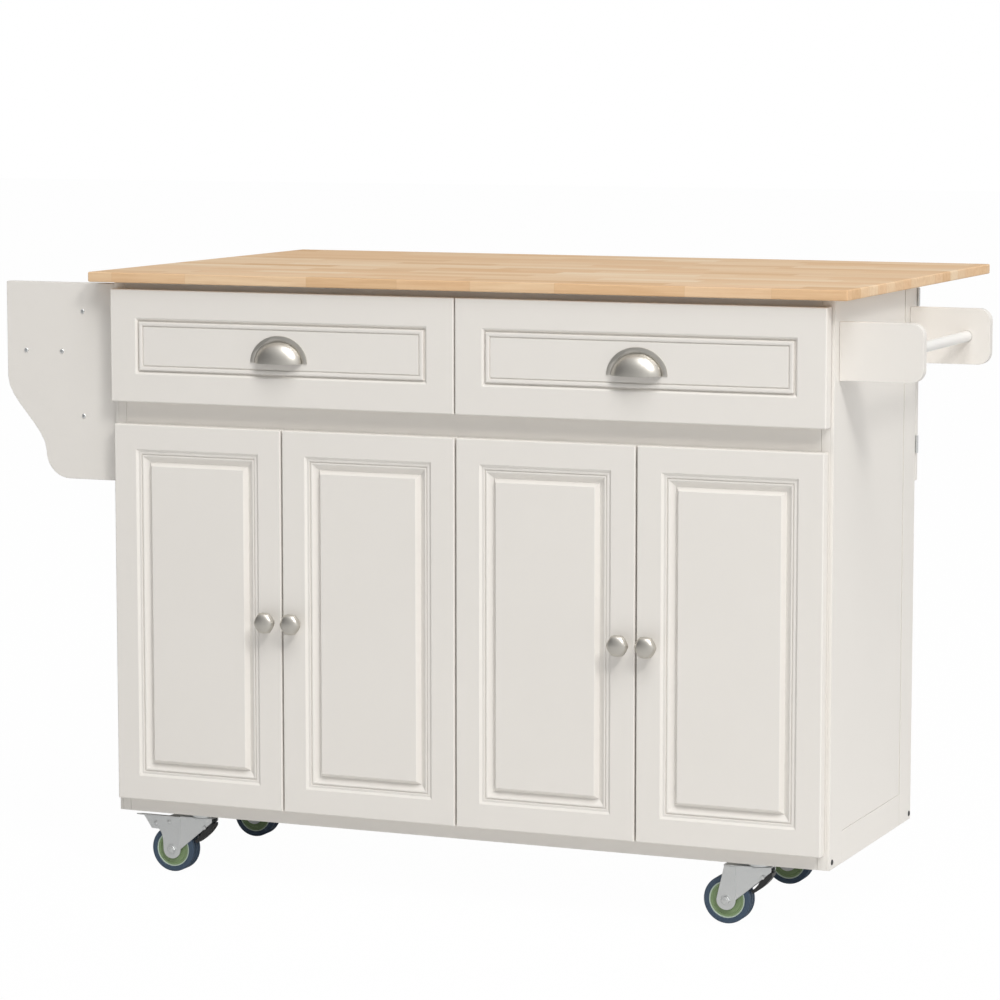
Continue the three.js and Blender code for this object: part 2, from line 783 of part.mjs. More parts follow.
function addBottleRack() {
  for (const { name, y } of rackWings) add(`rack_wing_${name}`, makeWing(y), paint);
  const between = spanBetween(rackWings, -fitGap);
  const boardOuter = rackBoardReach + rackBoard;
  const boardTop = rackTop - rackBoardDrop;
  const board = box(
    [-cabinetSide - boardOuter, -cabinetSide - rackBoardReach],
    between,
    [boardTop - rackBoardHeight, boardTop],
  );
  add("rack_board", board, paint);
  const shelfTop = rackTop - rackShelfDrop;
  const shelf = box(
    [-cabinetSide - rackWidth + rackShelfMargin, -cabinetSide - boardOuter - fitGap],
    between,
    [shelfTop - rackBoard, shelfTop],
  );
  add("bottle_shelf", shelf, paint);
  const socketed = spanBetween(rackWings, rodSocket - fitGap);
  for (const { name, reach, z, radius } of rackRods) {
    add(name, rod("y", socketed, [-cabinetSide - reach, z], radius), whitePaint);
  }
}

const towelArms = [
  { name: "front", y: [armInset, armInset + armThickness] },
  { name: "rear", y: [cabinetDepth - armInset - armThickness, cabinetDepth - armInset] },
];
const armTop = worktopUnderside - armTopDrop;
const barPlace = [cabinetSide + towelBarReach, armTop - armHeight / 2];

function makeTowelArm(y) {
  const near = cabinetSide + fitGap;
  const far = cabinetSide + armReach;
  const bottom = armTop - armHeight;
  const shape = new THREE.Shape();
  shape.moveTo(near, bottom);
  shape.lineTo(far - armRadius, bottom);
  shape.absarc(far - armRadius, bottom + armRadius, armRadius, -Math.PI / 2, 0);
  shape.absarc(far - armRadius, armTop - armRadius, armRadius, 0, Math.PI / 2);
  shape.lineTo(near, armTop);
  const socket = rod("y", spanBetween(towelArms, rodSocket), barPlace, towelBarRadius + fitGap);
  return cut(uprightPlate(shape, y), socket);
}

function addTowelRail() {
  for (const { name, y } of towelArms) add(`towel_arm_${name}`, makeTowelArm(y), paint);
  const span = spanBetween(towelArms, rodSocket - fitGap);
  add("towel_bar", rod("y", span, barPlace, towelBarRadius), whitePaint);
}

// ------------------------------------------------------------------ casters

const plateTop = cabinetBottom - fitGap;
const plateBottom = plateTop - plateThickness;
const raceBottom = plateBottom - raceHeight;
const crownTop = raceBottom - fitGap;
const crownBottom = crownTop - crownThickness;
const kingpinHeadTop = crownBottom - fitGap;
const kingpinHeadBottom = kingpinHeadTop - kingpinHeadDepth;
const forkInner = hubWidth / 2 + fitGap; // inner face of a fork leg, from the wheel's middle
const forkOuter = forkInner + forkSheet;
const forkFold = -casterTrail + forkEyeRadius;
const pedalPin = [pedalPinReach, crownBottom - pedalPinDrop];
const pedalHalf = forkInner - forkTaper - pedalSideGap;

// The mounting plate with its bearing race and kingpin, and four screw holes.
function makeCasterPlate() {
  const plate = flatPlate(roundedRectangle(plateSize, plateSize, plateCorner), [plateBottom, plateTop]);
  const race = rod("z", [raceBottom, plateBottom + fitGap], [0, 0], raceRadius, 24);
  const pin = rod("z", [kingpinHeadBottom, plateBottom], [0, 0], kingpinRadius, 12);
  const head = rod("z", [kingpinHeadBottom, kingpinHeadTop], [0, 0], kingpinHeadRadius, 12);
  const offset = plateSize / 2 - plateHoleInset;
  const holes = [-offset, offset].flatMap((x) =>
    [-offset, offset].map((y) => rod("z", [plateBottom - 1, plateTop + 1], [x, y], plateHoleRadius, 8)),
  );
  return cut(join(plate, race, pin, head), ...holes);
}

// One leg of the fork: a slanted front edge down to a round eye, and a straight fold behind.
function makeForkLeg(y) {
  const axleX = -casterTrail;
  const shape = new THREE.Shape();
  shape.moveTo(forkFold, crownTop);
  shape.lineTo(axleX - forkToe, crownTop);
  shape.absarc(axleX, wheelRadius, forkEyeRadius, Math.PI * 0.97, 2 * Math.PI, false);
  return uprightPlate(shape, y, 10);
}

// The cheek that runs on from the fold of a leg to the heel, closing in as it goes.
function makeForkCheek(side) {
  const shape = new THREE.Shape();
  shape.moveTo(forkFold, wheelRadius + forkSheet);
  shape.lineTo(forkHeelReach, crownTop - forkHeelHeight);
  shape.lineTo(forkHeelReach, crownTop);
  shape.lineTo(forkFold, crownTop);
  const slope = (-side * forkTaper) / (forkHeelReach - forkFold);
  const shear = new THREE.Matrix4().set(1, 0, 0, 0, slope, 1, 0, -slope * forkFold, 0, 0, 1, 0, 0, 0, 0, 1);
  return uprightPlate(shape, spanOn(side, forkInner, forkOuter)).applyMatrix4(shear);
}

// The top of the fork, as wide as the legs in front and the cheeks at the heel.
function makeCrown() {
  const heel = forkOuter - forkTaper;
  const shape = new THREE.Shape();
  shape.moveTo(-casterTrail - forkToe, -forkOuter);
  shape.lineTo(forkFold, -forkOuter);
  shape.lineTo(forkHeelReach, -heel);
  shape.lineTo(forkHeelReach, heel);
  shape.lineTo(forkFold, forkOuter);
  shape.lineTo(-casterTrail - forkToe, forkOuter);
  return join(
    flatPlate(shape, [crownBottom, crownTop]),
    rod("z", [crownBottom, crownTop], [0, 0], crownRadius, 24),
  );
}

// A flange on the front leg of one caster, with two rivets.
function makeForkFlange() {
  const axleX = -casterTrail;
  const shape = new THREE.Shape();
  shape.moveTo(axleX, crownTop);
  shape.lineTo(axleX - flangeReach, crownTop);
  shape.lineTo(axleX - flangeReach + flangeLip, crownTop - flangeLip);
  shape.lineTo(axleX - flangeFootReach, wheelRadius + flangeFootRise);
  shape.lineTo(axleX - flangeRoot, wheelRadius + flangeFootRise);
  shape.quadraticCurveTo(
    axleX - forkEyeRadius,
    wheelRadius + flangeFootRise - flangeLip,
    axleX - forkEyeRadius,
    wheelRadius,
  );
  shape.lineTo(axleX, wheelRadius);
  const rivets = flangeRivets.map(({ reach, rise }) => {
    const y = [-forkOuter - flangeRivetHead, -forkInner];
    return rod("y", y, [axleX - reach, wheelRadius + rise], flangeRivetRadius, 12);
  });
  const ridge = new THREE.Shape();
  ridge.moveTo(axleX + forkEyeRadius, -forkInner);
  ridge.lineTo(axleX - flangeReach, -forkInner);
  ridge.lineTo(axleX - flangeRidgeReach, -forkOuter - flangeRidgeDepth / 2);
  ridge.lineTo(axleX - flangeReach, -forkOuter - flangeRidgeDepth);
  ridge.lineTo(axleX + forkEyeRadius, -forkOuter - flangeRidgeDepth);
  return join(
    uprightPlate(shape, [-forkOuter, -forkInner], 6),
    flatPlate(ridge, [crownTop - forkSheet, crownTop]),
    ...rivets,
  );
}

function makeFork({ braked, flanged }) {
  const axle = [-casterTrail, wheelRadius];
  const pieces = [makeCrown(), rod("y", [-forkOuter, forkOuter], axle, axleRadius, 16)];
  for (const side of [-1, 1]) {
    pieces.push(makeForkLeg(spanOn(side, forkInner, forkOuter)));
    pieces.push(makeForkCheek(side));
    const head = spanOn(side, forkOuter - fitGap, forkOuter + axleHeadDepth);
    pieces.push(rod("y", head, axle, axleHeadRadius, 6));
  }
  const pinHalf = forkInner - forkTaper / 2;
  if (braked) pieces.push(rod("y", [-pinHalf, pinHalf], pedalPin, pedalPinRadius, 12));
  if (flanged) pieces.push(makeForkFlange());
  return cut(join(...pieces), rod("z", [crownBottom - 1, crownTop + 1], [0, 0], kingpinRadius + fitGap, 16));
}

function latheAlongY(profile, segments) {
  const points = profile.map(([radius, along]) => new THREE.Vector2(radius, along));
  return new THREE.LatheGeometry(points, segments);
}

function makeHub() {
  const bore = axleRadius + fitGap;
  const rim = wheelRadius - tyreDepth - fitGap;
  const half = hubWidth / 2;
  const rimHalf = hubRimWidth / 2;
  const webHalf = hubWeb / 2;
  const profile = [
    [bore, -half],
    [hubBossRadius, -half],
    [hubBossRadius, -webHalf],
    [rim - hubRim, -webHalf],
    [rim - hubRim, -rimHalf],
    [rim, -rimHalf],
    [rim, rimHalf],
    [rim - hubRim, rimHalf],
    [rim - hubRim, webHalf],
    [hubBossRadius, webHalf],
    [hubBossRadius, half],
    [bore, half],
    [bore, -half],
  ];
  return latheAlongY(profile, 24);
}

// The tyre is a ring with two grooves round its tread.
function makeTyre() {
  const inner = wheelRadius - tyreDepth;
  const half = tyreWidth / 2;
  const crest = wheelRadius;
  const groove = half / 3;
  const profile = [
    [inner, -half],
    [crest - tyreShoulder, -half],
    [crest, -half + tyreShoulder],
    [crest, -groove - tyreGroove],
    [crest - tyreGroove, -groove],
    [crest, -groove + tyreGroove],
    [crest, groove - tyreGroove],
    [crest - tyreGroove, groove],
    [crest, groove + tyreGroove],
    [crest, half - tyreShoulder],
    [crest - tyreShoulder, half],
    [inner, half],
    [inner, -half],
  ];
  return latheAlongY(profile, 30);
}

// The brake pedal: a barrel on its pin, a tread at the heel and a bowed blade down to a shoe that
// swings on to the tyre.
function makePedal() {
  const [x, z] = pedalPin;
  const lever = new THREE.Shape();
  lever.moveTo(x, z + pedalBarrelRadius);
  lever.lineTo(x + pedalReach, z + pedalRise + pedalThickness);
  lever.lineTo(x + pedalReach, z + pedalRise);
  lever.quadraticCurveTo(
    x + pedalBulge,
    z - pedalShoeDrop / 2,
    x - pedalShoeReach,
    z - pedalShoeDrop,
  );
  lever.lineTo(x - pedalShoeReach - pedalShoeDepth, z - pedalShoeDrop + pedalShoeDepth);
  lever.quadraticCurveTo(x - pedalBarrelRadius, z - pedalShoeDrop / 2, x - pedalBarrelRadius, z);
  const body = join(
    uprightPlate(lever, [-pedalHalf, pedalHalf], 8),
    rod("y", [-pedalHalf, pedalHalf], pedalPin, pedalBarrelRadius, 12),
  );
  const bore = rod("y", [-forkOuter, forkOuter], pedalPin, pedalPinRadius + fitGap, 12);
  return cut(body, bore);
}

function addCasters() {
  const rows = [
    { row: "front", y: casterFrontInset, braked: true },
    { row: "rear", y: cabinetDepth - casterRearInset, braked: false },
  ];
  for (const { row, y, braked } of rows) {
    for (const { name, side } of ends) {
      const place = [side * (cabinetSide - casterSideInset), y, 0];
      const axle = [place[0] - casterTrail, y, wheelRadius];
      add(`caster_plate_${row}_${name}`, makeCasterPlate(), zinc, place);
      const flanged = braked && side < 0;
      add(`caster_fork_${row}_${name}`, makeFork({ braked, flanged }), zinc, place);
      add(`wheel_hub_${row}_${name}`, makeHub(), hubPlastic, axle);
      add(`wheel_tyre_${row}_${name}`, makeTyre(), rubber, axle);
      if (braked) add(`brake_pedal_${name}`, makePedal(), blackPlastic, place);
    }
  }
}

// ------------------------------------------------------------------ the assembly

addCabinet();
addTops();
addBrackets();
addDrawers();
addDoors();
addBottleRack();
addTowelRail();
addCasters();

const boxLeft = -cabinetSide - rackWidth;
const boxRight = cabinetSide + armReach;
const boxFront = Math.min(
  doorFace - fitGap - knobDepth,
  drawerFace - fitGap - pullDepth,
  -worktopFrontOverhang,
);
island.position.set(-(boxLeft + boxRight) / 2, -(boxFront + leafRear) / 2, 0);

export default island;
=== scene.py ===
"""A drop leaf kitchen island: painted cabinet, butcher block worktop and leaf, nickel knobs and
cup pulls, a bottle rack, a towel rail and four swivelling casters. Metres, +X right, -Y front."""

import json
from math import atan2, comb, cos, hypot, pi, radians, sin

import bmesh
import bpy
from mathutils import Matrix, Vector


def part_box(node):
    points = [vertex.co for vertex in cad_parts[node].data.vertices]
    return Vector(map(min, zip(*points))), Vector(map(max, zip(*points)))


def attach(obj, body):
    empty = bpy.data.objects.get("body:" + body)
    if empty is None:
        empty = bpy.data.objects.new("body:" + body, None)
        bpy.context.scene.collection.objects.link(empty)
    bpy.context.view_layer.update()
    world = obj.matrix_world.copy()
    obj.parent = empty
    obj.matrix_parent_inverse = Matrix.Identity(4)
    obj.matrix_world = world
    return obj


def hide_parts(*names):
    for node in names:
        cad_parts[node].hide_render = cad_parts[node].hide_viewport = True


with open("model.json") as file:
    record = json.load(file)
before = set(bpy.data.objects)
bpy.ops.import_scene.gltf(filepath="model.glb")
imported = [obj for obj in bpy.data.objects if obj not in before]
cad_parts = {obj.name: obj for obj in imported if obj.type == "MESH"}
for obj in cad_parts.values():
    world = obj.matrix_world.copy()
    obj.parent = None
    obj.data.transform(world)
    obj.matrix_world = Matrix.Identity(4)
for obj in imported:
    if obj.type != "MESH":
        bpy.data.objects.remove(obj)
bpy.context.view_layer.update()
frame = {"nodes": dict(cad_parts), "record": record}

NODES = frame["nodes"]
RECORD = frame["record"]
BODY_OF = {node: body for body, nodes in RECORD["behaviour"]["bodies"].items() for node in nodes}
SLOT_OF = {part["node"]: part["material_slot"] for part in RECORD["subparts"]}
MM = 0.001
ENDS = (("left", -1), ("right", 1))
CASTERS = ("front_left", "front_right", "rear_left", "rear_right")
DOORS = range(1, 5)
BACKWARD, FORWARD, DOWN = (0, 1, 0), (0, -1, 0), (0, 0, -1)


def add_object(name, data):
    made = bpy.data.objects.new(name, data)
    bpy.context.scene.collection.objects.link(made)
    return made


# -------- camera

CAMERA_PLACE = (2.1317, -5.1830, 1.2198)
CAMERA_YAW = 0.3971  # radians, turned to the left of straight ahead
CAMERA_PITCH = 0.1174  # radians, looking down
CAMERA_LENS = 132.53
SENSOR_WIDTH = 36


def add_camera():
    camera = add_object("camera", bpy.data.cameras.new("camera"))
    camera.data.sensor_fit = "HORIZONTAL"
    camera.data.sensor_width = SENSOR_WIDTH
    camera.data.lens = CAMERA_LENS
    camera.location = CAMERA_PLACE
    camera.rotation_euler = (pi / 2 - CAMERA_PITCH, 0, CAMERA_YAW)
    bpy.context.scene.camera = camera


# -------- node trees


def maths(operation, reflected=False):
    """A method of Signal that makes one maths node, reflected when the other value comes first."""

    def combine(self, other):
        values = (other, self) if reflected else (self, other)
        return self.graph.math(operation, *values)

    return combine


class Signal:
    """An output of a node, which Python's arithmetic works on."""

    def __init__(self, graph, socket):
        self.graph = graph
        self.socket = socket

    def __getitem__(self, key):
        """Another output of the same node."""
        return Signal(self.graph, self.socket.node.outputs[key])

    __add__ = __radd__ = maths("ADD")
    __sub__, __rsub__ = maths("SUBTRACT"), maths("SUBTRACT", reflected=True)
    __mul__ = __rmul__ = maths("MULTIPLY")
    __truediv__, __rtruediv__ = maths("DIVIDE"), maths("DIVIDE", reflected=True)
    __gt__, __lt__ = maths("GREATER_THAN"), maths("LESS_THAN")


class Graph:
    """A node tree under construction."""

    def __init__(self, tree):
        self.tree = tree

    def node(self, kind, values=None, output=0, **settings):
        """Makes a node, its settings first and then its inputs. Returns one output."""
        made = self.tree.nodes.new(kind)
        for name, value in settings.items():
            setattr(made, name, value)
        self.feed(made, values or {})
        return Signal(self, made.outputs[output])

    def feed(self, node, values):
        """Sets inputs of a node, or links those whose value comes from another node."""
        for key, value in values.items():
            socket = node.inputs[key]
            if isinstance(value, Signal):
                self.tree.links.new(value.socket, socket)
            elif socket.type == "RGBA" and len(value) == 3:
                socket.default_value = (*value, 1)
            else:
                socket.default_value = value

    def math(self, operation, *values):
        return self.node("ShaderNodeMath", dict(enumerate(values)), operation=operation)

    def parts(self, vector):
        split = self.node("ShaderNodeSeparateXYZ", {0: vector})
        return split[0], split[1], split[2]

    def vector(self, x, y, z):
        return self.node("ShaderNodeCombineXYZ", {0: x, 1: y, 2: z})

    def remap(self, value, low, high, to_low=0, to_high=1):
        """Stretches low to high over to_low to to_high, and holds what lies outside."""
        values = {0: value, 1: low, 2: high, 3: to_low, 4: to_high}
        return self.node("ShaderNodeMapRange", values)

    def ray(self, kind):
        """1 for light rays of one kind, 0 for all others."""
        return self.node("ShaderNodeLightPath", output=f"Is {kind} Ray")


class Shader(Graph):
    """A material under construction."""

    def __init__(self, name):
        self.material = bpy.data.materials.new(name)
        self.material.use_nodes = True
        super().__init__(self.material.node_tree)
        self.surface = self.tree.nodes["Principled BSDF"]
        self.place = self.node("ShaderNodeTexCoord", output="Object")

    def finish(self, **values):
        """Feeds the surface, by its inputs' names with underscores. Returns the material."""
        self.feed(self.surface, {name.replace("_", " "): value for name, value in values.items()})
        return self.material

    def noise(self, scale, detail=2.0, roughness=0.5, place=None):
        """Noise over the object; a scale of three numbers stretches it along X, Y and Z."""
        place = place or self.place
        if isinstance(scale, tuple):
            place = self.node("ShaderNodeMapping", {"Vector": place, "Scale": scale})
            scale = 1
        values = {"Vector": place, "Scale": scale, "Detail": detail, "Roughness": roughness}
        return self.node("ShaderNodeTexNoise", values, "Fac")

    def random(self, vector):
        values = {"Vector": vector}
        return self.node("ShaderNodeTexWhiteNoise", values, "Value", noise_dimensions="3D")

    def ramp(self, factor, stops):
        ramp = self.node("ShaderNodeValToRGB", {"Fac": factor}, "Color")
        elements = ramp.socket.node.color_ramp.elements
        while len(elements) < len(stops):
            elements.new(0.5)
        for element, (place, colour) in zip(elements, stops):
            element.position = place
            element.color = (*colour, 1)
        return ramp

    def mix(self, factor, first, second, blend="MIX"):
        values = {0: factor, 6: first, 7: second}
        return self.node("ShaderNodeMix", values, 2, data_type="RGBA", blend_type=blend)

    def bump(self, height, strength, distance):
        values = {"Height": height, "Strength": strength, "Distance": distance}
        return self.node("ShaderNodeBump", values, "Normal")


# -------- finishes


def darker(colour, share):
    return tuple(part * share for part in colour)


def painted_board(name, colour, roughness):
    """Sprayed paint on board: nearly even, with a fine orange peel and a faint unevenness."""
    s = Shader(name)
    cloud = s.noise(5, detail=3)
    peel = s.noise(420)
    return s.finish(
        Base_Color=s.mix(cloud, darker(colour, 0.965), colour),
        Roughness=roughness - 0.05 + cloud * 0.1,
        Normal=s.bump(peel, strength=0.12, distance=0.0004),
        Coat_Weight=0.08,
        Coat_Roughness=0.3,
    )


STAVE_WIDTH = 0.041
BLOCK_LENGTH = 0.19
FIRST_STAVE = 0.31  # share of a stave by which all of them are shifted across
STAVE_SEAM = 0.493  # from a stave's middle to its glue line, in stave widths
BLOCK_SEAM = 0.4975  # from a block's middle to its joint, in block lengths
GRAIN_TINT = (0.62, 0.40, 0.22)
GLUE_TINT = (0.50, 0.31, 0.16)
HONEY_TONES = (
    (0.0, (0.686, 0.443, 0.237)),
    (0.16, (0.804, 0.578, 0.363)),
    (0.34, (0.842, 0.649, 0.444)),
    (0.5, (0.773, 0.523, 0.305)),
    (0.68, (0.861, 0.693, 0.496)),
    (0.84, (0.744, 0.492, 0.277)),
    (1.0, (0.834, 0.603, 0.392)),
)


def butcher_block(name):
    """Glued staves along X, each of end-jointed blocks that differ in tone, length and grain."""
    s = Shader(name)
    x, y, z = s.parts(s.place)
    across = y / STAVE_WIDTH + FIRST_STAVE
    row = s.math("FLOOR", across)

    def draw(second, third):
        """A random share for a stave, or for one of its blocks."""
        return s.random(s.vector(row, second, third))

    def near_edge(share, limit):
        return s.math("ABSOLUTE", s.math("FRACT", share) - 0.5) > limit

    shift, reach = draw(3.7, 0), draw(8.1, 0) * 0.6 + 0.7
    uneven = s.noise(1, 0, place=s.vector(row * 3.1, x * 3.3, 0))
    along = x / BLOCK_LENGTH * reach + shift * 7 + uneven * 1.1
    number = s.math("FLOOR", along)
    pick, second = draw(number, 1.3), draw(number, 5.9)
    base = s.ramp(pick, HONEY_TONES)
    drift = s.vector(x * 1.6 + pick * 40, y * 22 + second * 30, z * 22)
    grain = s.noise(6, 6, 0.62, place=drift)
    streaks = s.noise((5, 240, 240), 3, 0.6)
    pores = s.noise((30, 900, 900), 2, 0.6)
    flecks = s.remap(pores, 0.6, 0.78)
    dark = s.mix(0.62, base, GRAIN_TINT, "MULTIPLY")
    coloured = s.mix(s.remap(grain, 0.4, 0.74, 0, 0.42), base, dark)
    coloured = s.mix(s.remap(streaks, 0.5, 0.8, 0, 0.3), coloured, dark)
    coloured = s.mix(flecks * 0.16, coloured, dark)
    line = s.math("MAXIMUM", near_edge(across, STAVE_SEAM), near_edge(along, BLOCK_SEAM))
    return s.finish(
        Base_Color=s.mix(line * 0.22, coloured, GLUE_TINT),
        Roughness=0.5 + grain * 0.16,
        Normal=s.bump(grain * 0.4 + flecks * -0.3 - line * 0.4, strength=0.16, distance=0.0004),
        Specular_IOR_Level=0.22,
    )


def plain_wood(name, light, dark):
    """Pale drawer board with a long straight grain."""
    s = Shader(name)
    grain = s.noise((3, 3, 90), 5, 0.6)
    fine = s.noise((20, 20, 700))
    return s.finish(
        Base_Color=s.mix(grain, light, dark),
        Roughness=0.5 + fine * 0.15,
        Normal=s.bump(fine, strength=0.15, distance=0.0003),
    )


def metal(name, colour, roughness, brush):
    """Plated metal; brush gives how the fine scratches are stretched along X, Y and Z."""
    s = Shader(name)
    scratches = s.noise(brush, 3, 0.6)
    cloud = s.noise(60)
    return s.finish(
        Base_Color=s.mix(scratches, darker(colour, 0.9), colour),
        Metallic=1.0,
        Roughness=roughness - 0.06 + scratches * 0.1 + cloud * 0.04,
        Normal=s.bump(scratches, strength=0.06, distance=0.0002),
    )


def moulded(name, colour, roughness, scale, coat=0.0):
    """Moulded plastic or rubber with a fine sand texture."""
    s = Shader(name)
    sand = s.noise(scale, 3, 0.6)
    cloud = s.noise(30)
    return s.finish(
        Base_Color=s.mix(cloud, darker(colour, 0.85), colour),
        Roughness=roughness - 0.05 + sand * 0.1,
        Normal=s.bump(sand, strength=0.15, distance=0.0003),
        Coat_Weight=coat,
    )


FINISHES = {
    "paint": painted_board("off-white paint", (0.812, 0.781, 0.735), 0.45),
    "painted_rod": painted_board("white rod paint", (0.84, 0.825, 0.795), 0.38),
    "butcher_block": butcher_block("butcher block"),
    "drawer_wood": plain_wood("drawer wood", (0.74, 0.60, 0.41), (0.66, 0.50, 0.31)),
    "nickel": metal("brushed nickel", (0.62, 0.595, 0.545), 0.37, (60, 60, 1400)),
    "zinc": metal("zinc plate", (0.74, 0.755, 0.755), 0.42, (500, 500, 500)),
    "wheel_rubber": moulded("wheel rubber", (0.050, 0.085, 0.135), 0.5, 900),
    "hub_plastic": moulded("hub plastic", (0.235, 0.335, 0.165), 0.5, 500, 0.05),
    "black_plastic": moulded("black plastic", (0.012, 0.012, 0.013), 0.4, 700, 0.2),
}
RING_PLASTIC = moulded("ring plastic", (0.55, 0.66, 0.56), 0.5, 500)

# -------- meshes

SMOOTH_ANGLE = radians(38)
ROUNDED_ANGLE = radians(30)  # edges sharper than this are rounded
FLAT_ANGLE = radians(0.5)
TO_FRONT = Matrix.Rotation(pi / 2, 4, "X")  # local Z to -Y
TO_BACK = Matrix.Rotation(-pi / 2, 4, "X")  # local Z to +Y
UPRIGHT = Matrix.Identity(4)


def to_object(work):
    """A finished bmesh as an object at the origin, smooth but for its sharp edges."""
    mesh = bpy.data.meshes.new("piece")
    work.to_mesh(mesh)
    work.free()
    mesh.shade_smooth()
    mesh.set_sharp_from_angle(angle=SMOOTH_ANGLE)
    return add_object("piece", mesh)


def bake_modifiers(piece):
    """Turns what the modifiers make of a piece into its plain mesh."""
    graph = bpy.context.evaluated_depsgraph_get()
    mesh = bpy.data.meshes.new_from_object(piece.evaluated_get(graph))
    piece.modifiers.clear()
    piece.data = mesh
    return piece


def even_normals(piece):
    """Lets the large flat faces set the shading of the small rounded ones."""
    weighted = piece.modifiers.new("even normals", "WEIGHTED_NORMAL")
    weighted.keep_sharp = True
    weighted.weight = 100
    return bake_modifiers(piece)


def dress(piece, name, body, slot, *nodes):
    """Gives a piece its name, its body and, if it has none, its slot's material; hides the nodes it
    stands for.
    """
    piece.name = piece.data.name = name
    if not piece.data.materials:
        piece.data.materials.append(FINISHES[slot])
    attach(piece, body)
    if nodes:
        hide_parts(*nodes)


def stand_in(node, piece, suffix="finished"):
    """Dresses a piece that takes the place of one CAD node."""
    dress(piece, f"{node}_{suffix}", BODY_OF[node], SLOT_OF[node], node)


def centred_box(node):
    """The middle of a node's box and half its size."""
    low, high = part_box(node)
    return (low + high) / 2, (high - low) / 2


def round_edges(work, radius, segments):
    sharp = [
        edge
        for edge in work.edges
        if len(edge.link_faces) == 2 and edge.calc_face_angle(0) > ROUNDED_ANGLE
    ]
    settings = {"profile": 0.5, "affect": "EDGES", "clamp_overlap": True}
    bmesh.ops.bevel(work, geom=sharp, offset=radius, segments=segments, **settings)


def round_node(node, radius, segments=3):
    """A CAD node again with its edges rounded, in its place."""
    work = bmesh.new()
    work.from_mesh(NODES[node].data)
    bmesh.ops.remove_doubles(work, verts=work.verts, dist=2e-5)
    bmesh.ops.dissolve_limit(work, angle_limit=FLAT_ANGLE, verts=work.verts, edges=work.edges)
    round_edges(work, radius, segments)
    stand_in(node, even_normals(to_object(work)))


def board(corner, opposite, radius, segments=3):
    """A flat board between two opposite corners with rounded edges."""
    spans = [(min(pair), max(pair)) for pair in zip(Vector(corner), Vector(opposite))]
    work = bmesh.new()
    bmesh.ops.create_cube(work, size=1)
    for vertex in work.verts:
        pairs = zip(vertex.co, spans)
        vertex.co = [(low + high) / 2 + at * (high - low) for at, (low, high) in pairs]
    round_edges(work, radius, segments)
    return to_object(work)


def plate(outline, depth, place, radius, segments=3):
    """An outline in X and Z, as thick as depth in +Y, with rounded edges."""
    work = bmesh.new()
    face = work.faces.new([work.verts.new((x, 0, z)) for x, z in outline])
    back = bmesh.ops.extrude_face_region(work, geom=[face])["geom"]
    moved = [item for item in back if isinstance(item, bmesh.types.BMVert)]
    bmesh.ops.translate(work, verts=moved, vec=(0, depth, 0))
    bmesh.ops.recalc_face_normals(work, faces=work.faces)
    round_edges(work, radius, segments)
    bmesh.ops.translate(work, verts=work.verts, vec=place)
    return to_object(work)


def flat_plate(outline, low, high, radius):
    """An outline in X and Y between two heights, with rounded edges."""
    made = plate([(x, -y) for x, y in outline], high - low, (0, 0, 0), radius)
    made.data.transform(Matrix.Translation((0, 0, low)) @ TO_FRONT)
    return made


def ring(work, radius, height, steps):
    """A ring of points round local Z, or a single point on it."""
    if radius < 1e-7:
        return [work.verts.new((0, 0, height))]
    angles = [2 * pi * i / steps for i in range(steps)]
    return [work.verts.new((radius * cos(a), radius * sin(a), height)) for a in angles]


def join_rings(work, rings):
    """Faces between rings of points that follow each other; any may be a single point."""
    for first, second in zip(rings, rings[1:]):
        count = max(len(first), len(second))
        for i in range(count):
            j = (i + 1) % count
            pairs = ((first, i), (first, j), (second, j), (second, i))
            corners = list(dict.fromkeys(points[at % len(points)] for points, at in pairs))
            if len(corners) > 2:
                work.faces.new(corners)


def lathe(profile, place, turn=TO_FRONT, steps=64):
    """A profile of (radius, height) points turned about Z, then turned and moved into place."""
    work = bmesh.new()
    join_rings(work, [ring(work, radius, height, steps) for radius, height in profile])
    bmesh.ops.remove_doubles(work, verts=work.verts, dist=1e-7)
    bmesh.ops.recalc_face_normals(work, faces=work.faces)
    bmesh.ops.transform(work, matrix=Matrix.Translation(place) @ turn, verts=work.verts)
    return to_object(work)


def merge(*pieces):
    """Several objects as one mesh, each piece keeping its own material."""
    work = bmesh.new()
    materials = []
    for piece in pieces:
        own = list(piece.data.materials)
        materials += [material for material in own if material not in materials]
        if own:
            for face in piece.data.polygons:
                face.material_index = materials.index(own[face.material_index])
        work.from_mesh(piece.data)
        bpy.data.objects.remove(piece)
    made = to_object(work)
    for material in materials:
        made.data.materials.append(material)
    return made


def steps_between(first, last, count):
    return [first + (last - first) * i / count for i in range(count + 1)]


def arc(radius, start, end, steps, centre=(0, 0)):
    """Points on an arc from one angle to another; a radius of two numbers makes an ellipse."""
    across, up = radius if isinstance(radius, tuple) else (radius, radius)
    angles = steps_between(start, end, steps)
    return [(centre[0] + across * cos(a), centre[1] + up * sin(a)) for a in angles]


def curve(controls, steps):
    """Points on the curve that three or four control points draw."""
    degree = len(controls) - 1
    points = []
    for t in steps_between(0, 1, steps):
        shares = [comb(degree, k) * (1 - t) ** (degree - k) * t**k for k in range(degree + 1)]
        points.append(tuple(sum(w * c[i] for w, c in zip(shares, controls)) for i in (0, 1)))
    return points


def in_metres(profile):
    return [(x * MM, y * MM) for x, y in profile]


def eased_rod(radius, start, end, ease):
    """The profile of a round rod with slightly bevelled ends."""
    points = [(0, start), (radius - ease, start), (radius, start + ease)]
    return points + [(radius, end - ease), (radius - ease, end), (0, end)]


# -------- routed fronts

CORNER_STEPS = 5
CORNER_RADIUS = 1.2 * MM
LEAST_RADIUS = 0.15 * MM
FRONT_EDGE = 2.2  # mm, rounding of the front edges
BACK_EDGE = 0.6
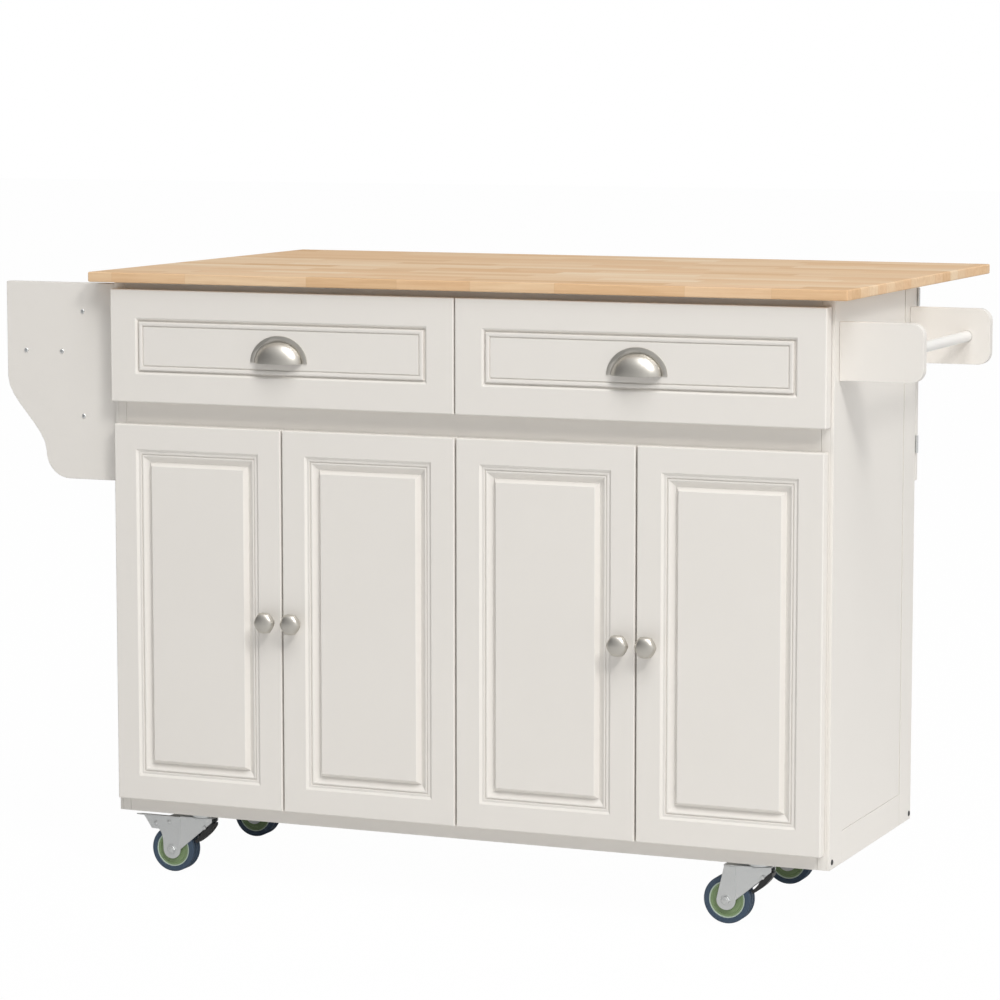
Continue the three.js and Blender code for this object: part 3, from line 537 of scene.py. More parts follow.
# Mouldings, as inset from where they start and depth below the face, in mm.
# Drawer: a slope into a narrow groove, a flat band, a nick and the field.
DRAWER_MOULDING = (
    (-0.3, 0), (0.3, 0.15), (2.0, 1.5), (3.0, 2.5), (3.3, 4.6), (3.8, 5.0), (5.4, 5.0),
    (5.8, 4.6), (6.0, 1.0), (6.4, 0.4), (7.2, 0.1), (8.6, 0), (11.0, 0.3), (11.6, 0.7),
    (11.9, 2.8), (13.0, 2.8), (13.3, 1.4), (13.9, 1.0),
)
# Door: a slope, a nick, a band, a deep slope and a steep rise to the raised field.
DOOR_MOULDING = (
    (-0.3, 0), (0.3, 0.25), (1.8, 1.7), (3.4, 2.9), (3.9, 3.1), (5.4, 2.6), (7.0, 2.7),
    (7.5, 3.1), (7.7, 4.8), (8.7, 4.8), (8.9, 3.6), (9.5, 3.1), (10.8, 3.1), (11.7, 3.5),
    (12.2, 4.2), (15.5, 7.0), (19.2, 8.8), (20.2, 8.9), (20.7, 8.4), (24.8, 2.2), (25.3, 1.5),
    (26.0, 1.2),
)


def front_profile(thickness, start, moulding):
    """Rings of (inset, level) from the back round the outer edge and over the moulding."""
    rings = [(BACK_EDGE, 0), (0.15, 0.15), (0, BACK_EDGE)]
    edge = arc(FRONT_EDGE, 0, pi / 2, 5)
    rings += [(FRONT_EDGE - x, thickness - FRONT_EDGE + y) for x, y in edge]
    rings += [(start + inset, thickness - depth) for inset, depth in moulding]
    return in_metres(rings)


def routed_front(node, profile):
    """A front with rounded corners, each level of its profile counted from its back."""
    middle, half = centred_box(node)
    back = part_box(node)[1].y
    work = bmesh.new()
    rings = []
    for inset, level in profile:
        radius = max(CORNER_RADIUS - inset, LEAST_RADIUS)
        x, z = half.x - inset - radius, half.z - inset - radius
        points = []
        for quarter, (sx, sz) in enumerate(((1, -1), (1, 1), (-1, 1), (-1, -1))):
            start = pi / 2 * (quarter - 1)
            centre = (middle.x + sx * x, middle.z + sz * z)
            points += arc(radius, start, start + pi / 2, CORNER_STEPS, centre)
        rings.append([work.verts.new((px, back - level, pz)) for px, pz in points])
    work.faces.new(rings[0])
    join_rings(work, rings)
    work.faces.new(rings[-1])
    bmesh.ops.recalc_face_normals(work, faces=work.faces)
    stand_in(node, even_normals(to_object(work)))


def add_fronts():
    for end, _ in ENDS:
        profile = front_profile(thickness=22, start=42, moulding=DRAWER_MOULDING)
        routed_front(f"drawer_front_{end}", profile)
    for number in DOORS:
        profile = front_profile(thickness=19, start=36.5, moulding=DOOR_MOULDING)
        routed_front(f"door_{number}", profile)


# -------- boards

BOARD_EDGES = (  # rounding of the edges in mm, and the boards that have it
    (0.3, "bottom_board"),
    (0.6, "centre_partition"),
    (0.5, "back_panel"),
    (0.3, "middle_rail", "top_rail"),
    (0.8, "shelf_left", "shelf_right"),
    (1.6, "rack_wing_front", "rack_wing_rear"),
    (1.2, "rack_board", "bottle_shelf"),
    (2.0, "towel_arm_front", "towel_arm_rear"),
    (0.9, "drawer_box_left", "drawer_box_right"),
)
STILE_WIDTH = 57 * MM
FOOT_RAIL_HEIGHT = 47 * MM
SIDE_SKIN = 5 * MM  # how far in the joints between stile, rail and field reach
FIELD_DEPTH = 0.3 * MM
STILE_JOINT = 3.6 * MM
RAIL_JOINT = 0.4 * MM
OUTER_EDGE = 0.6 * MM
JOINT_EDGE = 0.3 * MM
TOP_THICKNESS = 15 * MM
TOP_EDGE = 2.2 * MM


def add_boards():
    for radius, *nodes in BOARD_EDGES:
        for node in nodes:
            round_node(node, radius * MM)


def add_sides():
    """Each side panel as a core with stiles, a foot rail and a slightly sunk field on it."""
    for end, side in ENDS:
        node = f"side_panel_{end}"
        low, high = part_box(node)
        face, inside = (low.x, high.x) if side < 0 else (high.x, low.x)
        skin, sunk = face - side * SIDE_SKIN, face - side * FIELD_DEPTH
        front, rear = low.y + STILE_WIDTH, high.y - STILE_WIDTH
        rail = low.z + FOOT_RAIL_HEIGHT
        whole = (low.z, high.z)
        layers = (
            ((inside, skin), (low.y, high.y), whole, OUTER_EDGE),
            ((skin, face), (low.y, front), whole, OUTER_EDGE),
            ((skin, face), (rear, high.y), whole, JOINT_EDGE),
            ((skin, face), (front, rear - STILE_JOINT / 2), (low.z, rail), JOINT_EDGE),
            ((skin, sunk), (front, rear - STILE_JOINT), (rail + RAIL_JOINT, high.z), JOINT_EDGE),
        )
        pieces = [board(*zip(x, y, z), edge, 2) for x, y, z, edge in layers]
        stand_in(node, even_normals(merge(*pieces)))


def add_tops():
    for node in ("worktop", "drop_leaf"):
        low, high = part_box(node)
        low.z = high.z - TOP_THICKNESS
        stand_in(node, even_normals(board(low, high, TOP_EDGE, 4)))


# -------- knobs, pulls and rods

KNOB_FACETS = 6
KNOB_STEPS = 96
KNOB_NECK = 0.5  # share of its depth at which the head begins
KNOB_RIM = 0.72  # where the faceted rim ends and the round dome begins
KNOB_FADE = 0.2  # over which the flats fade out on the dome
KNOB_PROFILE = (  # shares of the radius and of the depth
    (0, 0), (0.54, 0), (0.56, 0.02), (0.56, 0.055), (0.53, 0.08), (0.42, 0.11), (0.37, 0.16),
    (0.355, 0.24), (0.36, 0.34), (0.40, 0.42), (0.52, 0.48), (0.76, 0.51), (0.94, 0.535),
    (0.985, 0.555), (1.0, 0.585), (1.0, 0.66), (0.99, 0.69), (0.965, KNOB_RIM), (0.935, 0.745),
    (0.925, 0.76), (0.90, 0.79), (0.84, 0.835), (0.76, 0.875), (0.65, 0.915), (0.52, 0.948),
    (0.38, 0.973), (0.2, 0.992), (0, 1.0),
)
PULL_FLANGE = 8 * MM
PULL_RISE = 1.06  # a little taller than the plain solid
PULL_CHANNEL = 1.3 * MM  # narrow channel between bowl and flange
PULL_SHEET = 1.8 * MM
PULL_BASE = 0.5 * MM  # sheet at the bottom of the channel
BOWL_ACROSS, BOWL_OVER = 56, 22  # faces of the bowl across and over
ROD_EASE = 0.8 * MM


def add_knobs():
    for number in DOORS:
        node = f"knob_{number}"
        middle, half = centred_box(node)
        radius, depth = half.x, half.y * 2
        place = (middle.x, middle.y + half.y, middle.z)
        profile = [(r * radius, h * depth) for r, h in KNOB_PROFILE]
        knob = lathe(profile, place, steps=KNOB_STEPS)
        facet(knob, place, radius, depth)
        stand_in(node, knob)


def facet(knob, place, radius, depth):
    """Presses flats into the rim of the knob's head, which fade out on to its dome."""
    for vertex in knob.data.vertices:
        dx, dz = vertex.co.x - place[0], vertex.co.z - place[2]
        out, height = hypot(dx, dz), (place[1] - vertex.co.y) / depth
        if height < KNOB_NECK or out < radius * 0.3:
            continue
        turn = (atan2(dz, dx) * KNOB_FACETS / (2 * pi)) % 1 - 0.5
        flat = cos(pi / KNOB_FACETS) / cos(turn * 2 * pi / KNOB_FACETS)
        strength = 0.5 * min(1, max(0, 1 - (height - KNOB_RIM) / KNOB_FADE))
        scale = 1 - strength * (1 - flat)
        vertex.co.x = place[0] + dx * scale
        vertex.co.z = place[2] + dz * scale


def add_pulls():
    """A hollow quarter ellipsoid in a narrow channel of a flat half-round flange, with a thin sheet
    at the channel's bottom.
    """
    for end, _ in ENDS:
        node = f"cup_pull_{end}"
        low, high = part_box(node)
        middle, half = centred_box(node)
        height = (high.z - low.z) * PULL_RISE
        bowl = (half.x - PULL_FLANGE, high.y - low.y, height - PULL_FLANGE)
        origin = (middle.x, high.y, low.z)

        def band(thickness, inset, gap, edge):
            """An arch: out along an outer half ellipse and back along an inner one."""
            outline = arc((half.x - inset, height - inset), 0, pi, 48, origin[::2])
            outline += arc((bowl[0] + gap, bowl[2] + gap), pi, 0, 48, origin[::2])
            return plate(outline, thickness, (0, high.y - thickness, 0), edge, 2)

        flange = band(PULL_SHEET, 0, PULL_CHANNEL, 0.5 * MM)
        base = band(PULL_BASE, 1 * MM, -0.6 * MM, 0.1 * MM)
        stand_in(node, merge(pull_bowl(origin, bowl), flange, base), "cup")


def pull_bowl(origin, sizes):
    """The pull's sheet metal bowl: an outer and an inner shell, joined along their edges."""
    work = bmesh.new()

    def shell(shrink):
        width, depth, height = (size - shrink for size in sizes)
        grid = []
        for tilt in steps_between(0, pi / 2, BOWL_OVER):
            row = []
            for turn in steps_between(0, pi, BOWL_ACROSS):
                out, up = sin(turn) * cos(tilt) * depth, sin(turn) * sin(tilt) * height
                point = (origin[0] - cos(turn) * width, origin[1] - out, origin[2] + up)
                row.append(work.verts.new(point))
            grid.append(row)
        for first, second in zip(grid, grid[1:]):
            strip(first, second)
        return grid

    def strip(first, second):
        for i in range(BOWL_ACROSS):
            work.faces.new([first[i], first[i + 1], second[i + 1], second[i]])

    outer, inner = shell(0), shell(PULL_SHEET)
    strip(outer[0], inner[0])
    strip(outer[-1], inner[-1])
    bmesh.ops.remove_doubles(work, verts=work.verts, dist=1e-6)
    bmesh.ops.dissolve_degenerate(work, edges=work.edges, dist=1e-7)
    bmesh.ops.recalc_face_normals(work, faces=work.faces)
    return to_object(work)


def add_rods():
    for node in ("bottle_guard", "rack_towel_rod", "towel_bar"):
        middle, half = centred_box(node)
        profile = eased_rod(half.x, 0, half.y * 2, ROD_EASE)
        stand_in(node, lathe(profile, (middle.x, middle.y + half.y, middle.z), steps=48))


# -------- screws

SCREWS = {}
HEAD_SIDES = 20
HEAD_TOP, RECESS_FLOOR = 0.46, 0.12
HEAD_PROFILE = ((1, 0), (1, 0.16), (0.93, 0.3), (0.76, 0.42), (0.6, HEAD_TOP))
SPIN_SEED = 7


def screw(place, out, radius, body="cabinet", slot="zinc"):
    """Notes a screw head, its radius in mm, to be made with the others like it on its body."""
    SCREWS.setdefault((body, slot, radius), []).append((place, out))


def screw_head():
    """A pan head of radius 1 on local Z, with a cross recess."""
    work = bmesh.new()
    rings = [ring(work, radius, height, HEAD_SIDES) for radius, height in HEAD_PROFILE]
    join_rings(work, rings)
    work.faces.new(rings[0])
    arm, half = 0.48, 0.11
    cross = [(arm, -half), (arm, half), (half, half), (half, arm), (-half, arm), (-half, half)]
    cross += [(-x, -y) for x, y in cross]
    top = [work.verts.new((x, y, HEAD_TOP)) for x, y in cross]
    floor = [work.verts.new((x * 0.8, y * 0.8, RECESS_FLOOR)) for x, y in cross]
    join_rings(work, [top, floor])
    work.faces.new(floor)
    loops = (rings[-1], top)
    edges = [work.edges.get((loop[i - 1], loop[i])) for loop in loops for i in range(len(loop))]
    bmesh.ops.triangle_fill(work, use_beauty=True, edges=edges)
    bmesh.ops.recalc_face_normals(work, faces=work.faces)
    return to_object(work)


def screw_tree():
    """Heads on points: each stands out along the point's own direction, turned by chance."""
    tree = bpy.data.node_groups.new("screw heads", "GeometryNodeTree")
    sockets = (
        ("Places", "INPUT", "Geometry"),
        ("Head", "INPUT", "Object"),
        ("Head radius", "INPUT", "Float"),
        ("Finish", "INPUT", "Material"),
        ("Screws", "OUTPUT", "Geometry"),
    )
    for name, way, kind in sockets:
        tree.interface.new_socket(name, in_out=way, socket_type=f"NodeSocket{kind}")
    g = Graph(tree)
    entry = g.node("NodeGroupInput")
    points = g.node("GeometryNodeMeshToPoints", {"Mesh": entry["Places"]})
    head = g.node("GeometryNodeObjectInfo", {"Object": entry["Head"]}, "Geometry")
    kind = "FLOAT_VECTOR"
    out = g.node("GeometryNodeInputNamedAttribute", {"Name": "out"}, "Attribute", data_type=kind)
    aim = g.node("FunctionNodeAlignRotationToVector", {"Vector": out}, axis="Z")
    values = {"Points": points, "Instance": head, "Rotation": aim, "Scale": entry["Head radius"]}
    placed = g.node("GeometryNodeInstanceOnPoints", values)
    values = {"Seed": SPIN_SEED, 3: pi / 2}
    chance = g.node("FunctionNodeRandomValue", values, 1, data_type="FLOAT")
    values = {"Instances": placed, "Rotation": g.vector(0, 0, chance)}
    turned = g.node("GeometryNodeRotateInstances", values)
    real = g.node("GeometryNodeRealizeInstances", {0: turned})
    finished = g.node("GeometryNodeSetMaterial", {"Geometry": real, "Material": entry["Finish"]})
    g.feed(tree.nodes.new("NodeGroupOutput"), {"Screws": finished})
    return tree


def add_screws():
    """Makes all the noted screws, one mesh for each body, finish and size."""
    tree, head = screw_tree(), screw_head()
    inputs = {item.name: item.identifier for item in tree.interface.items_tree}
    for (body, slot, radius), places in SCREWS.items():
        name = f"screws_{body}_{slot}_{radius:g}".replace(".", "_")
        mesh = bpy.data.meshes.new(name)
        mesh.from_pydata([place for place, _ in places], [], [])
        out = mesh.attributes.new("out", "FLOAT_VECTOR", "POINT")
        out.data.foreach_set("vector", [value for _, way in places for value in way])
        group = add_object(name, mesh)
        heads = group.modifiers.new("screw heads", "NODES")
        heads.node_group = tree
        heads[inputs["Head"]] = head
        heads[inputs["Head radius"]] = radius * MM
        heads[inputs["Finish"]] = FINISHES[slot]
        dress(bake_modifiers(group), name, body, slot)
    bpy.data.objects.remove(head)


SIDE_BOLT_PLACES = ((11, 107.5), (390, 106))  # mm from the cabinet's front and from the floor
SIDE_BOLT_DEPTH = 0.6 * MM
BACK_INSET = 9 * MM
BACK_TOP_INSET = 40 * MM
WING_SCREW_INSETS = (33 * MM, 59 * MM, 27 * MM, 30 * MM)  # board top and foot, shelf left and right
PLATE_INSET = 8 * MM
PLATE_THICKNESS = 2.5 * MM


def note_cabinet_screws():
    """Screws that hold the boards: side panels to the bottom board, the back panel, the rack."""
    for end, side in ENDS:
        low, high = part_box(f"side_panel_{end}")
        x = (high.x if side > 0 else low.x) - side * SIDE_BOLT_DEPTH
        for y, z in SIDE_BOLT_PLACES:
            # Black heads: their black is partly painted shade, standing in for the shade inside the
            # bolt holes.
            screw((x, low.y + y * MM, z * MM), (side, 0, 0), 4.2, slot="black_plastic")
    low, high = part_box("back_panel")
    left, right = low.x + BACK_INSET, high.x - BACK_INSET
    foot, head = low.z + BACK_INSET, high.z - BACK_TOP_INSET
    places = [(x, z) for x in steps_between(left, right, 6) for z in (foot, head)]
    middle = (low.x + high.x) / 2
    places += [(x, z) for z in steps_between(foot, head, 4)[1:-1] for x in (left, middle, right)]
    for x, z in places:
        screw((x, high.y, z), BACKWARD, 2.6)
    (_, _, board_foot), (_, _, board_head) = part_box("rack_board")
    shelf_low, shelf_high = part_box("bottle_shelf")
    board_x, shelf_z = centred_box("rack_board")[0].x, centred_box("bottle_shelf")[0].z
    below_top, above_foot, from_left, from_right = WING_SCREW_INSETS
    places = (
        (board_x, board_head - below_top),
        (board_x, board_foot + above_foot),
        (shelf_low.x + from_left, shelf_z),
        (shelf_high.x - from_right, shelf_z),
    )
    for x, z in places:
        screw((x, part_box("rack_wing_front")[0].y, z), FORWARD, 3.4)
        screw((x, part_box("rack_wing_rear")[1].y, z), BACKWARD, 3.4)


def note_caster_screws():
    for caster in CASTERS:
        low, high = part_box(f"caster_plate_{caster}")
        for x in (low.x + PLATE_INSET, high.x - PLATE_INSET):
            for y in (low.y + PLATE_INSET, high.y - PLATE_INSET):
                screw((x, y, high.z - PLATE_THICKNESS), DOWN, 4.2)


def note_door_screws():
    """The screw inside each door that holds its knob."""
    for number in DOORS:
        knob, _ = centred_box(f"knob_{number}")
        body = f"door_{number}"
        screw((knob.x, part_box(body)[1].y, knob.z), BACKWARD, 3.6, body)


# -------- hinges

PIN_CLEARANCE = 0.3 * MM
KNUCKLE_EASE = 0.25 * MM
LEAF_HINGE_LENGTH = 64 * MM
LEAF_KNUCKLE = 3 * MM
LEAF_KNUCKLES = 5
LEAF_HINGE_LEVELS = (1.2 * MM, 3 * MM)
LEAF_PLATE_REACH = 34 * MM
TOP_PLATE_REACH = 13 * MM
LEAF_SCREW_STEPS = (0.15, 0.5, 0.85)
BRACKET_WIDTH = 185 * MM
BRACKET_THICKNESS = 11 * MM
BRACKET_STRAIGHT = 99 * MM
BRACKET_NECK = 80 * MM
BRACKET_EASE = 50 * MM
BRACKET_KNUCKLE = 2.2 * MM
BRACKET_KNUCKLES = 3
BRACKET_PLATE_REACH = 17 * MM


def hinge_half(origin, axes, reach, levels, length, knuckle, count, first):
    """Half a butt hinge: its pin lies on local Z, and its plate runs out along local X. It has
    every other of the hinge's knuckles, from the first one given."""
    near, far = reach
    pieces = [board((near, levels[0], 0), (far, levels[1], length), 0.3 * MM, 2)]
    pitch, gap = length / count, PIN_CLEARANCE * first
    for i in range(first, count, 2):
        start, end = i * pitch + gap, (i + 1) * pitch - gap
        profile = eased_rod(knuckle, start, end, KNUCKLE_EASE)
        pieces.append(board((0, levels[0], start), (near, levels[1], end), 0.1 * MM, 1))
        pieces.append(lathe(profile, (0, 0, 0), UPRIGHT, 24))
    half = merge(*pieces)
    half.data.transform(Matrix.Translation(origin) @ Matrix(axes).transposed().to_4x4())
    return half


def add_leaf_hinges():
    """Both halves of the two hinges; each half's plate is screwed up into its board."""
    near = LEAF_KNUCKLE + PIN_CLEARANCE
    axes = ((0, 1, 0), (0, 0, 1), (1, 0, 0))
    for end, _ in ENDS:
        node = f"leaf_hinge_{end}"
        low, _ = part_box(node)
        pin = Vector((low.x, low.y + LEAF_KNUCKLE, low.z + LEAF_KNUCKLE))
        halves = (
            ("leaf", 1, LEAF_PLATE_REACH, 1, (node,)),
            ("cabinet", -1, TOP_PLATE_REACH, 0, ()),
        )
        for body, way, far, first, nodes in halves:
            reach, size = (way * near, way * far), (LEAF_HINGE_LENGTH, LEAF_KNUCKLE)
            half = hinge_half(pin, axes, reach, LEAF_HINGE_LEVELS, *size, LEAF_KNUCKLES, first)
            dress(half, f"{node}_{body}_half", body, "zinc", *nodes)
            y, z = pin.y + way * (near + far) / 2, pin.z + LEAF_HINGE_LEVELS[0]
            for step in LEAF_SCREW_STEPS:
                screw((pin.x + step * LEAF_HINGE_LENGTH, y, z), DOWN, 2.6, body)


def bracket_outline(edge, way, top, bottom):
    """Square at the top, an S curve in to a narrower neck, and a quarter circle at the foot."""
    outer, neck = edge + way * BRACKET_WIDTH, edge + way * BRACKET_NECK
    high, low = top - BRACKET_STRAIGHT, bottom + BRACKET_NECK
    bend = ((outer, high), (outer, high - BRACKET_EASE), (neck, low + BRACKET_EASE), (neck, low))
    foot = arc((way * BRACKET_NECK, -BRACKET_NECK), 0, pi / 2, 16, (edge, low))[1:]
    return [(edge, top), (outer, top)] + curve(bend, 24) + foot


def add_brackets():
    """The two boards that swing out under the leaf, each on two butt hinges."""
    for end, side in ENDS:
        node = f"bracket_{end}"
        low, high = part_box(node)
        edge = low.x + BRACKET_WIDTH if side > 0 else high.x - BRACKET_WIDTH
        outline = bracket_outline(edge, -side, high.z, low.z)
        place = (0, high.y - BRACKET_THICKNESS, 0)
        stand_in(node, even_normals(plate(outline, BRACKET_THICKNESS, place, 1.2 * MM)))
        for level in ("upper", "lower"):
            add_bracket_hinge(f"bracket_hinge_{end}_{level}", node, side)


def add_bracket_hinge(node, bracket, side):
    low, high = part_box(node)
    outer = high.x if side > 0 else low.x
    pin = (outer - side * BRACKET_KNUCKLE, high.y - BRACKET_KNUCKLE, low.z)
    halves = (
        ("fixed", "cabinet", (-1.2 * MM, -0.15 * MM), (node,)),
        ("moving", bracket, (0.2 * MM, 1.6 * MM), ()),
    )
    axes = ((-side, 0, 0), (0, 1, 0), (0, 0, 1))
    reach, length = (BRACKET_KNUCKLE + PIN_CLEARANCE, BRACKET_PLATE_REACH), high.z - low.z
    for first, (name, body, levels, nodes) in enumerate(halves):
        size = (length, BRACKET_KNUCKLE)
        half = hinge_half(pin, axes, reach, levels, *size, BRACKET_KNUCKLES, first)
        if side > 0:
            half.data.flip_normals()
        dress(half, f"{node}_{name}", body, "zinc", *nodes)


# -------- inside the cabinet

CUP_INSET = 22.5 * MM
CUP_HEIGHTS = (90 * MM, 479 * MM)  # above the foot of the door
CUP_PROFILE = ((0, 0), (17.5, 0), (17.5, 0.5), (16, 0.6), (14.5, 0.25), (0, 0.25))  # mm
CUP_WING = Vector((8, 0.5, 26)) * MM  # half its width, its thickness and half its height
MOUNT_REACH = 9 * MM
PIN_PROFILE = ((0, 0), (2.4, 0), (2.5, 0.2), (2.5, 8.5), (2.1, 9), (0, 9))  # mm
SHELF_PIN_INSET = 45 * MM


def add_door_hinges():
    """A round hinge cup let into each door, and its mounting plate inside the cabinet."""
    for number in DOORS:
        door = f"door_{number}"
        low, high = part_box(door)
        outward, edge = (-1, low.x) if number % 2 else (1, high.x)
        x, y = edge - outward * CUP_INSET, high.y
        cups, plates = [], []
        for height in CUP_HEIGHTS:
            z = low.z + height
            cups.append(lathe(in_metres(CUP_PROFILE), (x, y, z), TO_BACK, 40))
            corner, opposite = (x - CUP_WING.x, y, z - CUP_WING.z), Vector((x, y, z)) + CUP_WING
            cups.append(board(corner, opposite, 0.2 * MM, 1))
            for dz in (-21, 21):
                screw((x, y + 0.4 * MM, z + dz * MM), BACKWARD, 2.4, door)
            plates.append(mounting_plate(number, outward, z))
        dress(merge(*cups), f"{door}_hinge_cups", door, "nickel")
        dress(merge(*plates), f"{door}_hinge_plates", "cabinet", "nickel")


def mounting_plate(number, outward, z):
    """A plate on the board that the door hangs from, with a short arm towards the door."""
    nodes = ("side_panel_left", "centre_partition", "centre_partition", "side_panel_right")
    low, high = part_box(nodes[number - 1])
    face = high.x if number in (1, 3) else low.x
    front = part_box("side_panel_left")[0].y

    def block(share, start, end, half, edge, segments):
        corner = (face, front + start * MM, z - half * MM)
        opposite = (face - outward * MOUNT_REACH * share, front + end * MM, z + half * MM)
        return board(corner, opposite, edge * MM, segments)

    for dz in (-11.5, 11.5):
        place = (face - outward * MOUNT_REACH * 0.25, front + 41 * MM, z + dz * MM)
        screw(place, (-outward, 0, 0), 2.6)
    return merge(block(0.25, 24, 58, 16, 0.8, 2), block(1, 22, 62, 6.5, 1.6, 3))


def add_shelf_pins():
    for end, _ in ENDS:
        low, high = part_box(f"shelf_{end}")
        pins = []
        for x, way in ((low.x, 1), (high.x, -1)):
            for y in (low.y + SHELF_PIN_INSET, high.y - SHELF_PIN_INSET):
                turn = Matrix.Rotation(way * pi / 2, 4, "Y")
                place = (x - way * 0.2 * MM, y, low.z - 2.6 * MM)
                pins.append(lathe(in_metres(PIN_PROFILE), place, turn, 20))
        dress(merge(*pins), f"shelf_{end}_pins", "cabinet", "nickel")


# -------- casters

WHEEL_STEPS = 96
FORK_SHEET = 2.2 * MM
FORK_GAP = 0.3 * MM  # between hub and leg
FORK_EYE = 14.5 * MM
FORK_TOE = 3 * MM
FORK_TAPER = 3.7 * MM
HEEL_HEIGHT = 7 * MM
CHEEK_INSET = 0.75 * MM
CROWN_THICKNESS = 3 * MM
CROWN_OVERHANG = 0.45 * MM
PEDAL_PIN_PLACE = (8 * MM, -12 * MM)  # from the swivel axis and the underside of the crown
RIVET_PLACES = ((26.5, 38.5), (4, 42))  # mm in front of the axle and above it
# Profiles of (radius, height) in mm. The axle's end is a ring, a nut and a bolt, with their sides.
AXLE_END = (
    (40, (7.2, -0.3), (7.2, 0.1), (7.5, 0.35), (7.9, 0.35), (8.3, 0.1), (8.3, -0.3), (7.2, -0.3)),
    (6, (0, -0.3), (6.2, -0.3), (6.2, 2.1), (5.5, 2.7), (0, 2.7)),
    (28, (0, 2.6), (3.0, 2.6), (3.0, 3.2), (2.6, 3.5), (0, 3.5)),
)
CROWN_DISC = (
    (6, -3), (14, -3), (16.2, -2.6), (17, -1.6), (17, -0.6), (16.4, -0.1), (6, -0.1), (6, -3)
)
RIVET = (
    (0, -0.2), (3.9, -0.2), (3.9, 0.1), (3.5, 0.35), (3.2, 0.15), (2.7, 0.75), (1.6, 1.25), (0, 1.4)
)


def add_casters():
    for caster in CASTERS:
        round_node(f"caster_plate_{caster}", 0.35 * MM, 2)
        add_fork(caster)
        add_wheel(caster)
    for end, _ in ENDS:
        round_node(f"brake_pedal_{end}", 0.9 * MM)


def add_fork(caster):
    """A stamped fork: two legs, folded back to cheeks that close in to the heel, and a crown."""
    node = f"caster_fork_{caster}"
    flanged = caster == "front_left"
    _, (heel, _, top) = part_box(node)
    axle, hub_half = centred_box(f"wheel_hub_{caster}")
    swivel, _ = centred_box(f"caster_plate_{caster}")
    inner = hub_half.y + FORK_GAP
    outer, fold = inner + FORK_SHEET, axle.x + FORK_EYE
    pieces = []
    for side in (-1, 1):
        outline = leg_outline(axle, fold, top, flanged and side < 0)
        face = swivel.y + (inner if side > 0 else -outer)
        pieces.append(plate(outline, FORK_SHEET, (0, face, 0), 0.55 * MM))
        pieces.append(fork_cheek(side, swivel.y, inner, fold, heel, axle.z, top))
        turn, place = TO_BACK if side > 0 else TO_FRONT, (axle.x, axle.y + side * outer, axle.z)
        pieces += [lathe(in_metres(part), place, turn, sides) for sides, *part in AXLE_END]
    pieces += fork_crown(swivel, fold, heel, axle, outer, top)
    if "front" in caster:
        pieces.append(pedal_pin(swivel, top, inner - FORK_TAPER * 0.3))
    if flanged:
        pieces += flange_ridge(swivel, axle, inner, outer, top)
    stand_in(node, even_normals(merge(*pieces)))


def leg_outline(axle, fold, top, flanged):
    """Fold at the back, round eye at the foot, and a slanted or flanged front edge."""
    x, _, z = axle
    shoulder = top - CROWN_THICKNESS * 0.55
    eye = arc(FORK_EYE, 0, -1.03 * pi, 40, (x, z))
    if not flanged:
        return [(x - FORK_TOE, shoulder), (fold, shoulder)] + eye
    foot = z + 30 * MM
    bend = ((x - FORK_EYE, z), (x - FORK_EYE, foot - 4 * MM), (x - 23 * MM, foot))
    front = [(x - 34 * MM, foot), (x - 46 * MM, top - 4 * MM)]
    return [(x - 50 * MM, top), (fold, top)] + eye[:-4] + curve(bend, 12) + front


def fork_cheek(side, middle, inner, fold, heel, axle_z, top):
    """The cheek behind a leg, a little inside it and closing in towards the heel."""
    front, upper = fold - 3 * MM, top - 0.8 * MM
    outline = [(front, axle_z), (fold, axle_z + 1 * MM), (heel, top - HEEL_HEIGHT)]
    outline += [(heel, upper), (front, upper)]
    near = inner - CHEEK_INSET
    low = middle + (near if side > 0 else -near - FORK_SHEET)
    cheek = plate(outline, FORK_SHEET, (0, low, 0), 0.5 * MM)
    slope = FORK_TAPER / (heel - fold)
    for vertex in cheek.data.vertices:
        vertex.co.y -= side * slope * (vertex.co.x - fold)
    return cheek


def fork_crown(swivel, fold, heel, axle, outer, top):
    """The top sheet, a hair wider than the legs, with the pressed disc under the bearing."""
    wide, back = outer + CROWN_OVERHANG, outer - FORK_TAPER + CROWN_OVERHANG
    front = axle.x - FORK_TOE - 0.8 * MM
    half = [(front, wide), (fold, wide), (heel, back)]
    outline = [(x, swivel.y - y) for x, y in half] + [(x, swivel.y + y) for x, y in half[::-1]]
    sheet = flat_plate(outline, top - FORK_SHEET * 0.7, top, 0.5 * MM)
    return [sheet, lathe(in_metres(CROWN_DISC), (swivel.x, swivel.y, top), UPRIGHT)]


def pedal_pin(swivel, top, half):
    """The pedal's pin, with a rivet head on each cheek."""
    place = (swivel.x + PEDAL_PIN_PLACE[0], swivel.y, top - CROWN_THICKNESS + PEDAL_PIN_PLACE[1])
    h, r = half / MM + 1.4, 2
    rivet = [(0, h), (r + 0.6, h), (r + 1, h - 0.5), (r + 1, h - 1.1), (r, h - 1.1)]
    profile = [(x, -y) for x, y in rivet] + rivet[::-1]
    return lathe(in_metres(profile), place, steps=28)


def flange_ridge(swivel, axle, inner, outer, top):
    """The top edge of the flange, bent outwards, and its two rivets."""
    near, far = swivel.y - inner, swivel.y - outer - 4 * MM
    back, front = axle.x + FORK_EYE, axle.x - 50 * MM
    tip = (axle.x - 59 * MM, far + 2 * MM)
    outline = [(back, near), (front, near), tip, (front, far), (back, far)]
    pieces = [flat_plate(outline, top - FORK_SHEET * 0.75, top, 0.45 * MM)]
    for reach, rise in RIVET_PLACES:
        place = (axle.x - reach * MM, swivel.y - outer, axle.z + rise * MM)
        pieces.append(lathe(in_metres(RIVET), place, steps=32))
    return pieces


